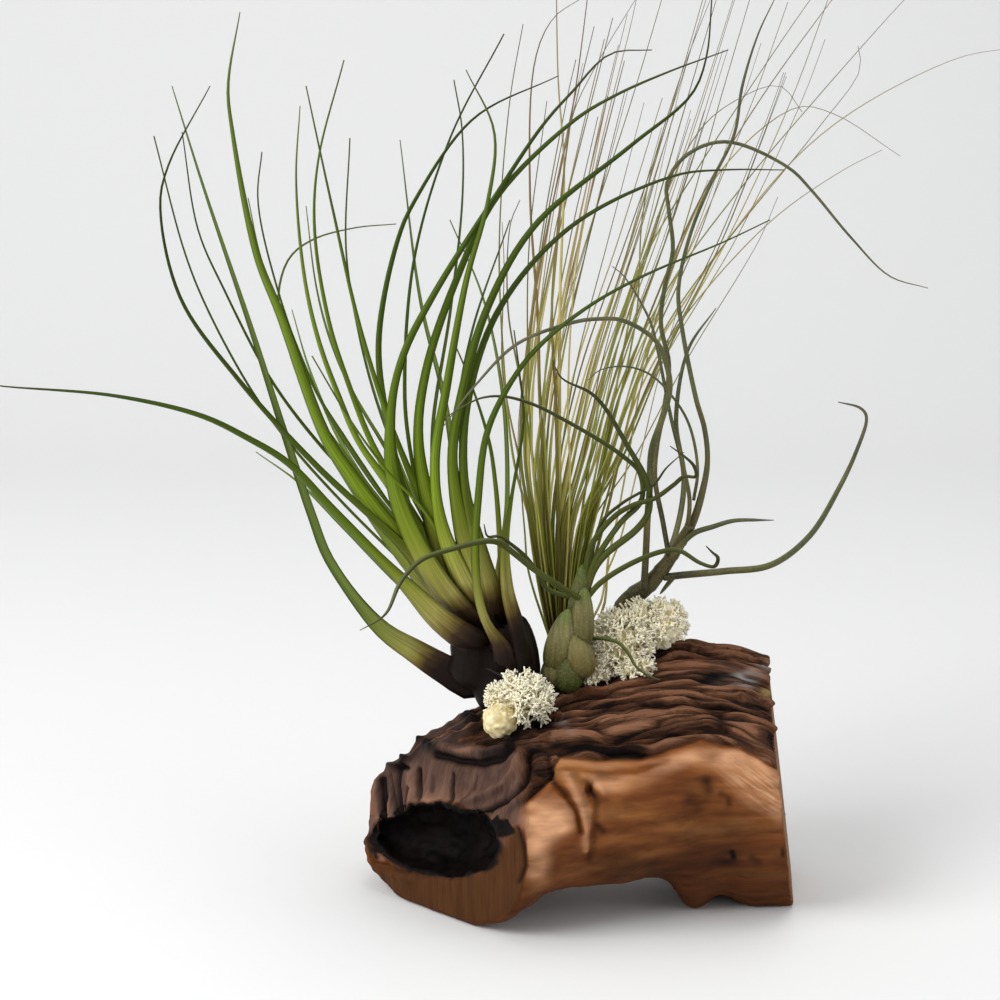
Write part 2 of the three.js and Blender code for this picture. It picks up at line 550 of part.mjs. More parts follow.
function curlyLeaf({ run, from, lean, thick }, grow) {
  const last = run.length - 1;
  const points = run.map(([across, up], i) => (
    onSight(across, up, from + lean * (i / last) ** CURLY_LEAN)));
  return sweep(points, (t) => tentacle(thick, t, grow), CURLY_STEPS);
}

function curlyPlant(grow = 0) {
  const leaves = CURLY_LEAVES.map((leaf) => curlyLeaf(leaf, grow));
  return fuse([curlyStem(grow), foot(SEATS.curly, CURLY_FOOT, grow), ...leaves]);
}

// ===========================================================================================
// Glue: a dab under each plant, in its small flat seat in the wood
// ===========================================================================================

function glueDab(seat) {
  return stub(seat, [seat.radius - GLUE_EDGE, seat.radius, GLUE_THICK], seat.z + GAP);
}

// ===========================================================================================
// Reindeer moss: forked prongs that stand out of small cores on every side
// ===========================================================================================

const MOSS_FRONT = { seed: 11, lumps: [
  { at: [10, -101, -5], radii: [13, 10, 12], sprigs: 17 },
  { at: [-1, -112, -16], radii: [7, 6, 7], sprigs: 5 },
] };
const MOSS_RIGHT = { seed: 12, lumps: [
  { at: [62, -71, 33], radii: [16, 10, 14], sprigs: 20 },
  { at: [84, -62, 44], radii: [11, 10, 14], sprigs: 11 },
  { at: [64, -85, 26], radii: [13, 7, 6], sprigs: 4 },
] };
const SPRIG = { radius: 1.9, reach: [6, 10], sunk: 4, fork: 0.5, lowest: -0.45 };
const GOLDEN_TURN = Math.PI * (3 - Math.sqrt(5));
const CONE_WAY = new THREE.Vector3(0, 1, 0);       // a cone geometry's tip points this way

/** A three-sided prong from one point to another, thick at its root and sharp at its tip. */
function prong(from, to, radius) {
  const way = to.clone().sub(from);
  const length = way.length();
  const cone = new THREE.ConeGeometry(radius, length, 3).translate(0, length / 2, 0);
  cone.applyQuaternion(new THREE.Quaternion().setFromUnitVectors(CONE_WAY, way.normalize()));
  return solid(cone.translate(from.x, from.y, from.z));
}

/** Two prongs that fork from one place inside a lump, pointing away from its middle. */
function sprig(base, way, draw) {
  const aside = new THREE.Vector3(draw() - 0.5, draw() - 0.5, draw() - 0.5).cross(way).normalize();
  const start = base.clone().addScaledVector(way, -SPRIG.sunk);
  return [-SPRIG.fork, SPRIG.fork].map((turn) => {
    const out = way.clone().addScaledVector(aside, turn).normalize();
    const reach = THREE.MathUtils.lerp(...SPRIG.reach, draw());
    return prong(start, base.clone().addScaledVector(out, reach), SPRIG.radius);
  });
}

/** A lump of moss: its core, and sprigs spread evenly over it down to its lower side. */
function mossLump(lump, draw) {
  const middle = onSight(...lump.at);
  const sprigs = Array.from({ length: lump.sprigs }, (_, i) => {
    const height = THREE.MathUtils.lerp(1, SPRIG.lowest, (i + draw()) / lump.sprigs);
    const flat = Math.sqrt(1 - height ** 2);
    const angle = i * GOLDEN_TURN;
    const way = new THREE.Vector3(flat * Math.cos(angle), flat * Math.sin(angle), height);
    const base = way.clone().multiply(new THREE.Vector3(...lump.radii)).add(middle);
    return sprig(base, way, draw);
  });
  return [lobe(lump), ...sprigs.flat()];
}

/** A moss tuft without the room that its neighbours need. */
function moss({ seed, lumps }, neighbours) {
  const draw = drawer(seed);
  const whole = fuse(lumps.flatMap((lump) => mossLump(lump, draw)));
  return fuse([neighbours.reduce((left, other) => left.subtract(other), whole)]);
}

// ===========================================================================================
// The arrangement
// ===========================================================================================

const group = new THREE.Group();
const wood = driftwood();
group.add(
  piece('driftwood', wood, WOOD),
  piece('rosette_plant', rosettePlant(), ROSETTE_GREEN),
  piece('grassy_plant', grassyPlant(), GRASS_OLIVE),
  piece('bulb_plant', bulbPlant(), BULB_GREEN),
  piece('curly_plant', curlyPlant(), CURLY_OLIVE),
);
for (const [name, seat] of Object.entries(SEATS)) {
  group.add(piece(`glue_${name}`, glueDab(seat), GLUE_CLEAR));
}
const besideMoss = [
  wood.translate([0, 0, MOSS_GAP]),
  ...[rosettePlant, grassyPlant, bulbPlant, curlyPlant].map((plant) => plant(MOSS_GAP)),
];
group.add(
  piece('moss_front', moss(MOSS_FRONT, besideMoss), MOSS_CREAM),
  piece('moss_right', moss(MOSS_RIGHT, besideMoss), MOSS_CREAM),
);
group.position.set(-CENTRE.x, -CENTRE.y, 0);

export default group;
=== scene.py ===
"""Air plants on driftwood: the finished looks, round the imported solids.

Tables are in millimetres, as the part's own: +Z up, +Y away from the viewer. A leaf's run is
given as a viewer sees it, across and up on a board square to the line of sight, with a depth
in Y that puts each point in space. mesh_piece turns millimetres into the frame's metres.
"""
import itertools
import math

import bpy
import numpy as np
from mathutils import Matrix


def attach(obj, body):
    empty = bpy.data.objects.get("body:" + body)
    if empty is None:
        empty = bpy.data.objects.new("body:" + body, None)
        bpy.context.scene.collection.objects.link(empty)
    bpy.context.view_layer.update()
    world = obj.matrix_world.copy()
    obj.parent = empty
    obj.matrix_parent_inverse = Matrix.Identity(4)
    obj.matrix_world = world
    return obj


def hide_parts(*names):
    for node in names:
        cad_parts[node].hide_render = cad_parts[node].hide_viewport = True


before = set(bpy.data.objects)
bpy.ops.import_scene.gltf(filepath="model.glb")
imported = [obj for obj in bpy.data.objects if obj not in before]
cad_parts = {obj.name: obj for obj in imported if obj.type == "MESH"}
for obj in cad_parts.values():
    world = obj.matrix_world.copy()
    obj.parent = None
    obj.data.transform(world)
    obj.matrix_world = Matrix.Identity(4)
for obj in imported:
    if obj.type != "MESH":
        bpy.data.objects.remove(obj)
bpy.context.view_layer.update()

# =============================================================================================
# The viewer
# The camera looks down a little from the front, far enough back for leaves that lean towards
# it to keep their size. The board is the plane that its picture is measured on.
# =============================================================================================
MM = 0.001
CENTRE = np.array([8.2, 59.7, 0.0])       # the frame's origin, in the tables' millimetres
SIGHT_DISTANCE = 1200.0                   # eye to the middle of the board
SIGHT_DROP = math.radians(12)             # how far the line of sight looks down
BOARD_HEIGHT = 213.6                      # middle of the board above the feet
BOARD_WIDE = 500.0                        # what the picture shows at the board
SENSOR = 36.0
EYE = np.array([
    0.0,
    -SIGHT_DISTANCE * math.cos(SIGHT_DROP),
    BOARD_HEIGHT + SIGHT_DISTANCE * math.sin(SIGHT_DROP),
])

camera = bpy.data.objects.new("camera", bpy.data.cameras.new("camera"))
camera.data.sensor_width = SENSOR
camera.data.lens = SENSOR * SIGHT_DISTANCE / BOARD_WIDE
camera.data.clip_end = 20.0
camera.location = (EYE - CENTRE) * MM
camera.rotation_euler = (math.pi / 2 - SIGHT_DROP, 0.0, 0.0)
bpy.context.scene.collection.objects.link(camera)
bpy.context.scene.camera = camera


# =============================================================================================
# Driftwood
# A chunk of a hardwood root, dug up and sawn off at its right end. The heartwood on top has
# weathered to dark wavy layers, the sapwood in front was brushed clean to a warm tan, and the
# left end is worn to a smooth fluted slab over a black rotted heart.
# =============================================================================================
WOOD_VOXEL = 1.05                         # the mesh's spacing
CRISP_ROUNDS, ROUND_ROUNDS = 10, 70       # smoothing near the cuts, and of the grown forms
SEATS = {                                 # the plants' seats: x, y, height, radius
    "rosette": (3, 21, 94, 13.6),
    "grass": (38, 47, 101, 10.6),
    "bulb": (34, 23, 99.5, 9.6),
    "curly": (60, 57, 106, 10.1),
}
# Where the dark top ends on the front, as (x, z), and how low it reaches at the back.
TOP_EDGE = [(-80, 60), (5, 66), (7, 70), (15, 76), (25, 86), (27, 92), (29.5, 95.7), (49, 93.6),
            (70, 94), (88, 98), (99, 101), (118, 98), (139, 86), (150, 80)]
BACK_EDGE = 84
SLAB = {"at": (10, -58, 63), "turn": 41, "tip": 18}
LEFT_CUT = {"at": (-29, -19, 0), "turn": 45, "tip": 0}
HEART = {"at": (-30.2, -11.8, 39.5), "radii": (22, 46, 18), "turn": 45, "dip": 12}
# The black heart as the viewer sees it: across, its upper lip, its lower edge.
HEART_SEEN = [(-62, -164, -170), (-56, -161, -174), (-54, -156, -178), (-49, -154.5, -181),
              (-44.5, -154.5, -183), (-37.5, -154, -186.5), (-30, -154.5, -187.7),
              (-24, -155, -188.3), (-20, -157.5, -188), (-16.5, -158.5, -187.2),
              (-9.5, -158.5, -183.5), (-5, -159, -177.5), (-2, -159.5, -169.5),
              (3, -161, -168), (8, -164.5, -167)]
# Creases, rolls and knots as the viewer sees them: path, width, height, darkness. The darkness
# is painted shade in the creases and cracks, partly dark wood and partly painted shade in the
# knots' pits, and below zero a painted highlight on the rolls and columns.
FEATURES = [
    # the folded lobe of sapwood beside the left end, and the knot in it
    ([(24.5, -130), (27, -141.5), (33, -147.5), (38.5, -155), (40.5, -165)], 1.6, -3.4, 0.75),
    ([(23, -140), (15, -149), (6, -155)], 2.0, -0.8, 0.3),
    ([(21, -152), (27, -158), (34, -160), (37, -170)], 6.0, 2.2, 0.0),
    ([(33.5, -138), (37.5, -146), (42, -160), (43, -174)], 2.4, 2.2, -0.45),
    ([(43, -141), (45.2, -143.5), (47.6, -149), (48.5, -152)], 3.2, 0.6, 0.3),
    ([(45.8, -143.5), (47.8, -148)], 1.7, 0.0, 0.7),
    ([(41.5, -138.5), (47, -139), (51.5, -146)], 1.5, 1.3, -0.3),
    ([(48.5, -152), (47, -166), (44.5, -180)], 1.7, -1.7, 0.3),
    ([(49.5, -163.5), (51.5, -165.5)], 1.9, -0.8, 0.7),
    ([(33, -134.5), (50, -136.5), (68, -136), (84, -131)], 1.5, -0.5, 0.3),
    # the dark line that edges the left end's smooth crescent, painted shade where two faces meet
    ([(9, -164), (12.2, -174), (13, -183), (9.5, -191)], 1.1, -1.0, 0.8),
    # small knots
    ([(103.5, -141), (105, -146)], 3.0, -1.4, 0.5),
    ([(111, -147.5), (114.6, -149.5), (115, -152)], 2.0, -1.4, 0.5),
    ([(112.4, -150.6), (113, -151.6)], 1.0, 1.0, -0.2),
    ([(95, -152), (99, -154)], 3.0, -0.6, 0.35),
    ([(116, -176.5), (116.8, -178.5)], 1.3, -1.2, 0.95),
    ([(108, -181), (118, -184)], 5.0, -0.8, 0.22),
    ([(126, -179), (129, -181)], 2.2, -0.8, 0.5),
    ([(141.3, -175), (141.6, -177.5)], 1.0, -1.0, 0.8),
    # the slab's roll, the crease under it, and the step above
    ([(-17, -151), (-5, -146), (2.5, -141), (8, -134.5), (10, -128)], 1.9, 3.2, -0.18),
    ([(-18, -158), (-7, -155.5), (4, -150.5), (12, -142.5), (14.5, -133), (14, -127)],
     1.7, -3.6, 1.1),
    ([(20, -131), (17.5, -140), (8, -150), (-2, -155)], 2.2, 1.4, -0.1),
    ([(-31, -127.5), (-20, -130.5), (-9, -131.6), (1, -129), (5, -124)], 2.0, -3.6, 1.3),
    ([(-9, -127), (3, -124), (8, -117)], 3.0, -1.4, 0.8),
    ([(-28, -123.5), (-20, -125.5), (-11, -124)], 1.9, 2.2, -0.45),
    ([(-18, -152), (-9, -150), (1, -146)], 2.4, 0.0, 0.4),
    ([(3, -118), (6, -127), (1, -134)], 1.5, 1.2, -0.1),
    # the slab's cracks and columns on the left, and its pale lower lip
    ([(-61, -139), (-60.5, -148), (-58.5, -159)], 1.7, -3.0, 1.5),
    ([(-50.5, -133), (-51, -143), (-50.5, -152)], 1.4, -3.0, 1.0),
    ([(-55.5, -138), (-54, -146), (-52.5, -152)], 1.2, -2.4, 0.8),
    ([(-46, -144), (-48.5, -156)], 0.9, -2.4, 0.9),
    ([(-40.6, -135), (-40.2, -150)], 1.1, -3.2, 1.1),
    ([(-23.8, -137), (-24.4, -151)], 0.8, -2.4, 1.0),
    ([(-33, -138), (-33.5, -146)], 0.7, -1.0, 0.5),
    ([(-12, -138), (-13, -145)], 0.7, -1.0, 0.4),
    ([(-62.5, -136), (-63, -150), (-62, -162)], 1.9, 1.6, -0.3),
    ([(-56.5, -150), (-56, -159)], 1.2, 1.2, -0.35),
    ([(-45, -133), (-45.4, -152)], 1.9, 1.8, -0.2),
    ([(-48, -153), (-38, -151), (-25, -151), (-19, -154.5)], 1.6, 1.4, -0.45),
    # spikes of the torn rim
    ([(-50, -127), (-47.5, -129.5)], 2.2, 4.0, 0.7),
    ([(-40, -120.5), (-36, -121.5)], 1.7, 3.0, 0.8),
    ([(-18, -106.5), (-14, -109)], 3.0, 3.0, 0.6),
    ([(-57, -131), (-54, -133)], 2.2, 3.0, 0.2),
    ([(-49.5, -133), (-46, -134)], 1.2, -3.0, 0.8),
]
# Stains, painted shade and painted highlights as the viewer sees them: across, up, half width,
# half height, slope, darkness. Those below zero are paler wood and painted highlights.
STAINS_SHADE_AND_HIGHLIGHTS = [
    # the sapwood's pale lip, warm band, painted highlight on the lobe, torn patch, and painted shade
    # in its hollows and under the arch
    (116, -129.5, 19, 4.6, 0.0, -1.0), (131, -137, 9, 6, -0.4, -0.7),
    (88, -131.5, 13, 4, 0.3, -0.6), (46, -130.5, 30, 3.2, 0.0, -0.35),
    (58, -141, 17, 5, 0.12, -0.5), (47, -136, 12, 3, 0.0, -0.3),
    (31, -160.5, 8, 6, 0.5, -1.0), (20, -166, 9, 9, 0.3, -0.85), (19, -154.5, 9, 5, 0.5, -0.6),
    (31, -153, 8, 4, 0.3, -0.45), (43, -156, 4, 8, 0.0, -0.4), (19, -181, 6, 12, 0.0, -0.6),
    (127, -143, 15, 10, -0.55, -0.6), (139, -152, 5, 9, -0.4, -0.5),
    (99, -145, 11, 8, 0.1, 0.4), (70, -152, 14, 4, 0.15, 0.25), (84, -184, 34, 9, 0.1, 0.55),
    (115, -178, 8, 5, 0.0, 0.4), (44, -172, 5, 9, 0.0, 0.1), (102, -164, 27, 8, 0.0, 0.4),
    (56, -157, 5, 5, 0.0, 0.35), (52, -181, 16, 7, 0.1, 0.3),
    # the slab, with painted shade under the top's overhang and above its roll, and pale at its foot
    (-25, -118, 34, 9, 0.35, 0.7), (-2, -112, 17, 10, 0.2, 0.7), (-2, -134, 8, 10, 0.0, 0.2),
    (-29, -149.5, 15, 5, 0.0, -0.3), (-50, -129, 12, 5, 0.5, 0.25),
    (-12, -136, 12, 6, 0.0, 0.25), (-43, -148, 4, 6, 0.0, -0.25), (18, -121, 16, 8, 0.0, 0.3),
    # the knob at the left tip, dark over a pale chip
    (-60.5, -170.8, 7.0, 6.6, 0.1, 1.5), (-59.3, -178.4, 3.8, 2.1, 0.1, -2.2),
]
RUST_PATCHES = [                          # orange wood at the left tip
    (-66.2, -177.5, 2.0, 6.0, -0.1, 0.8), (-66.3, -150, 1.8, 9, 0.0, 0.4),
    (-57.5, -182, 5, 1.5, -0.3, 0.4),
]
GLUE_STAINS = [                           # dried glue on the top, at its right end and middle
    (123, -88.8, 13, 2.6, 0.12, 1.0), (119, -92.5, 9, 1.2, -0.2, 0.9), (129, -85, 8, 2, 0.3, 0.6),
    (34, -115.8, 3.4, 2.2, -0.3, 0.9), (30, -111, 4, 1.0, 0.1, 0.5),
]
GLUE_DROP = [(133.6, -96.6, 3.4, 2.0, -0.2, 1.0)]
KNOB = [(-65, -173, 6, 8, 0, 1.8)]        # how the left tip swells
TORN_PATCH = [(129, -142, 15, 11, -0.5, 1.0)]
TORN_GRAIN_TURN = math.radians(-38)       # the grain's slope in the torn patch on the right
TORN_GRAIN_AT = (127, 83)                 # the patch's middle, x and z
NOTCH_AT, NOTCH_SIZE, NOTCH_DEEP = (-50, -125), (7, 9), 3.0   # in the outline at the upper left
LAYER = 11.0                              # between the layers of the weathered top
LAYER_HIGH, LAYER_LIP = 2.8, 0.16         # a layer's height, and its lip's share of the spacing
LINE_STRETCH = 1.3                        # how much more the fine lines sway than the layers do
# Noises that bend or shape the surface: height in mm, size each way in mm, seed.
SWAY = [(7.5, (75, 45, 300), 7), (4.2, (30, 15, 300), 8), (1.5, (10, 9, 300), 31)]
SLAB_FLUTES = [(1.2, (8, 1, 60), 13), (0.6, (3, 1, 26), 14)]
HEART_LUMPS = [(2.2, (14, 14, 7), 15), (1.1, (5, 5, 3.5), 16)]
SAPWOOD_HILLS = [(1.6, (34, 30, 20), 17), (0.5, (17, 12, 6), 18)]
CARVED_IN, CARVED_OUT = -6.5, 5.0         # the furthest that the surface moves in and out
RING_STEP, PITH = 2.6, (18, 78)           # between the year rings, and their middle, y and z


def eased(low, high, value):
    """0 below low, 1 above high, and a smooth step between."""
    share = np.clip((value - low) / (high - low), 0, 1)
    return share * share * (3 - 2 * share)


def hump(value, width):
    """1 where the value is 0, falling softly to 0 over a width each way."""
    return np.exp(-(value / width) ** 2)


def unit(vectors):
    """Each row at length 1."""
    return vectors / np.linalg.norm(vectors, axis=1)[:, None]


def wander(points, size, seed=0):
    """Smooth noise from -1 to 1 at each point, which changes over about size mm each way."""
    place = points / np.broadcast_to(np.asarray(size, float), (3,)) + seed * 17.31
    cell = np.floor(place).astype(np.int64)
    part = place - cell
    ease = part * part * (3 - 2 * part)
    total = np.zeros(len(points))
    for corner in itertools.product((0, 1), repeat=3):
        mixed = ((cell + corner) * (374761393, 668265263, 1440662683)).sum(1) & 0xFFFFFFFF
        mixed = ((mixed ^ (mixed >> 13)) * 1274126177) & 0xFFFFFFFF
        value = ((mixed ^ (mixed >> 16)) & 0xFFFF) / 32767.5 - 1
        total += value * np.prod(np.where(corner, ease, 1 - ease), axis=1)
    return total


def waves(points, table):
    """The sum of a table of noises."""
    return sum(high * wander(points, size, seed) for high, size, seed in table)


def layered(points, size, seed=0, rounds=3):
    """Noise with finer and fainter rounds added to it."""
    size = np.broadcast_to(np.asarray(size, float), (3,))
    return sum(wander(points, size / 2 ** k, seed + k) / 2 ** k for k in range(rounds)) / 1.6


def seen(points):
    """Where the viewer sees each point on the board: across and up."""
    towards = points - EYE
    ahead = towards[:, 1] * math.cos(SIGHT_DROP) - towards[:, 2] * math.sin(SIGHT_DROP)
    rise = towards[:, 1] * math.sin(SIGHT_DROP) + towards[:, 2] * math.cos(SIGHT_DROP)
    return SIGHT_DISTANCE * towards[:, 0] / ahead, SIGHT_DISTANCE * rise / ahead


def beside(across, up, path, width):
    """How near each seen place is to a path: 1 on it, falling softly to 0 over its width."""
    nearest = np.full(len(across), np.inf)
    for (a0, u0), (a1, u1) in itertools.pairwise(path):
        run = (a1 - a0, u1 - u0)
        share = ((across - a0) * run[0] + (up - u0) * run[1]) / (run[0] ** 2 + run[1] ** 2)
        share = np.clip(share, 0, 1)
        off = np.hypot(across - a0 - share * run[0], up - u0 - share * run[1])
        nearest = np.minimum(nearest, off)
    return hump(nearest, width)


def cut_face(cut):
    """The outward way, the way along and the way up of a cut through the left end."""
    turn, tip = math.radians(cut["turn"]), math.radians(cut["tip"])
    out = np.array([
        -math.cos(tip) * math.cos(turn), -math.cos(tip) * math.sin(turn), math.sin(tip)])
    along = np.array([-math.sin(turn), math.cos(turn), 0.0])
    return out, along, np.cross(along, out)


def linear(colour):
    """The linear colour of an sRGB hex value, with full alpha."""
    parts = [int(colour[i:i + 2], 16) / 255 for i in (1, 3, 5)]
    return [c / 12.92 if c <= 0.04045 else ((c + 0.055) / 1.055) ** 2.4 for c in parts] + [1.0]


def add(tree, kind, **wiring):
    """Adds one node. Each name is a property or an input: a socket is linked, a value is set."""
    new = tree.nodes.new("ShaderNode" + kind)
    for name in [n for n in wiring if hasattr(new, n)]:
        setattr(new, name, wiring.pop(name))
    for name, value in wiring.items():
        label = name.replace("_", " ")
        socket = new.inputs[int(name[1:])] if name[1:].isdigit() else new.inputs[label]
        if isinstance(value, bpy.types.NodeSocket):
            tree.links.new(value, socket)
        else:
            socket.default_value = linear(value) if isinstance(value, str) else value
    return new


def mark(tree, name, kind="Fac"):
    """A mesh's named mark, as a value, or with the kind "Vector" as a vector."""
    return add(tree, "Attribute", attribute_name=name).outputs[kind]


def blend(tree, share, first, second, way="MIX"):
    """Two colours mixed by a share."""
    return add(tree, "MixRGB", blend_type=way, Fac=share, Color1=first, Color2=second).outputs[0]


def reckon(tree, way, *values):
    """A sum of a kind on plain numbers or sockets."""
    return add(tree, "Math", operation=way, **{f"_{i}": v for i, v in enumerate(values)}).outputs[0]


def times(tree, first, second):
    """The product of two values."""
    return reckon(tree, "MULTIPLY", first, second)


def ranged(tree, value, low, high, new_low=0.0, new_high=1.0):
    """The value carried from the span low to high over to another span, and kept within it."""
    return add(tree, "MapRange", Value=value, From_Min=low, From_Max=high,
               To_Min=new_low, To_Max=new_high).outputs[0]


def ramp(tree, share, *stops):
    """A run of colours, or of greys, through stops of a place and a colour."""
    new = add(tree, "ValToRGB", Fac=share)
    while len(new.color_ramp.elements) < len(stops):
        new.color_ramp.elements.new(1.0)
    for element, (place, colour) in zip(new.color_ramp.elements, stops):
        element.position = place
        element.color = linear(colour) if isinstance(colour, str) else (colour,) * 3 + (1.0,)
    return new.outputs[0]


def noise(tree, place, size, detail=3.0, roughness=0.5):
    """Noise at a place in mm that changes over size mm each way."""
    scaled = add(tree, "VectorMath", operation="MULTIPLY", _0=place, _1=[1 / s for s in size])
    return add(tree, "TexNoise", Vector=scaled.outputs[0], Scale=1.0, Detail=detail,
               Roughness=roughness).outputs[0]


def raised(tree, height, strength, depth):
    """The normal of a surface with a fine relief, depth in metres."""
    return add(tree, "Bump", Height=height, Strength=strength, Distance=depth).outputs[0]


def finish(name, build, **plain):
    """A material whose surface build wires up. plain holds the shader's values that are even."""
    material = bpy.data.materials.new(name)
    material.use_nodes = True
    tree = material.node_tree
    shader = tree.nodes["Principled BSDF"]
    for label, value in plain.items():
        shader.inputs[label.replace("_", " ")].default_value = value
    for label, socket in build(tree).items():
        tree.links.new(socket, shader.inputs[label])
    return material


def mesh_piece(name, points, faces, marks, material):
    """A smooth mesh from points in mm. marks are named values, one a point, or vectors."""
    mesh = bpy.data.meshes.new(name)
    mesh.from_pydata(((points - CENTRE) * MM).tolist(), [], faces)
    for label, values in marks.items():
        kind, field = ("FLOAT_VECTOR", "vector") if values.ndim == 2 else ("FLOAT", "value")
        mesh.attributes.new(label, kind, "POINT").data.foreach_set(field, values.ravel())
    mesh.polygons.foreach_set("use_smooth", [True] * len(mesh.polygons))
    mesh.materials.append(material)
    piece = bpy.data.objects.new(name, mesh)
    bpy.context.scene.collection.objects.link(piece)
    return piece


def stands_for(piece, slot, *nodes):
    """The piece rides on the one body and takes the place of its nodes; its slot is not used."""
    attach(piece, "root")
    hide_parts(*nodes)


def remeshed(points, faces, voxel, rounds):
    """The points, faces and normals of a closed mesh, rebuilt in small even squares and smoothed
    by some rounds."""
    mesh = bpy.data.meshes.new("rough")
    mesh.from_pydata((points * MM).tolist(), [], faces)
    rough = bpy.data.objects.new("rough", mesh)
    bpy.context.scene.collection.objects.link(rough)
    remesh = rough.modifiers.new("remesh", "REMESH")
    remesh.mode = "VOXEL"
    remesh.voxel_size = voxel * MM
    soften = rough.modifiers.new("soften", "SMOOTH")
    soften.factor = 0.5
    soften.iterations = rounds
    done = rough.evaluated_get(bpy.context.evaluated_depsgraph_get()).to_mesh()
    place = np.empty(len(done.vertices) * 3)
    done.vertices.foreach_get("co", place)
    ways = np.empty(len(done.vertices) * 3, np.float32)
    done.vertex_normals.foreach_get("vector", ways)
    corners = [tuple(face.vertices) for face in done.polygons]
    bpy.data.objects.remove(rough)
    return place.reshape(-1, 3) / MM, corners, ways.reshape(-1, 3).astype(float)


def in_heart(points):
    """How far out of the rotted hollow's egg shape each point is: 1 on its wall."""
    turn, dip = math.radians(HEART["turn"]), math.radians(HEART["dip"])
    off = points - HEART["at"]
    side = off[:, 1] * math.cos(turn) - off[:, 0] * math.sin(turn)
    spun = np.column_stack([
        off[:, 0] * math.cos(turn) + off[:, 1] * math.sin(turn),
        side * math.cos(dip) - off[:, 2] * math.sin(dip),
        side * math.sin(dip) + off[:, 2] * math.cos(dip)])
    return np.linalg.norm(spun / HEART["radii"], axis=1)


def patches(across, up, table):
    """Soft slanted patches as the viewer sees them, each with its strength in the middle."""
    found = np.zeros(len(across))
    for a, u, wide, high, slope, strength in table:
        right = across - a
        rise = up - u - slope * right
        found += strength * np.exp(-((right / wide) ** 2 + (rise / high) ** 2) ** 1.4)
    return found


def wood_blank():
    """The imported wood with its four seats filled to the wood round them, in small squares."""
    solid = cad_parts["driftwood"].data
    points = np.array([v.co for v in solid.vertices]) / MM + CENTRE
    for x, y, height, radius in SEATS.values():
        off = np.hypot(points[:, 0] - x, points[:, 1] - y)
        rim = points[(off < radius + 0.6) & (points[:, 2] > height + 0.6)]
        for i in np.flatnonzero((off < radius + 0.6) & (abs(points[:, 2] - height) < 0.1)):
            apart = np.hypot(*(rim[:, :2] - points[i, :2]).T)
            points[i, 2] = rim[apart < max(3.0, apart.min() + 0.1), 2].mean()
    faces = [tuple(f.vertices) for f in solid.polygons]
    crisp, faces_fine, ways = remeshed(points, faces, WOOD_VOXEL, CRISP_ROUNDS)
    grown, _, grown_ways = remeshed(points, faces, WOOD_VOXEL, ROUND_ROUNDS)
    hollow = eased(1.35, 1.1, in_heart(crisp))
    share = np.maximum(eased(0.85, 0.97, ways[:, 0]), eased(138, 143, crisp[:, 0]))
    share = np.maximum(share, hollow)[:, None]
    return crisp * share + grown * (1 - share), faces_fine, ways * share + grown_ways * (1 - share)


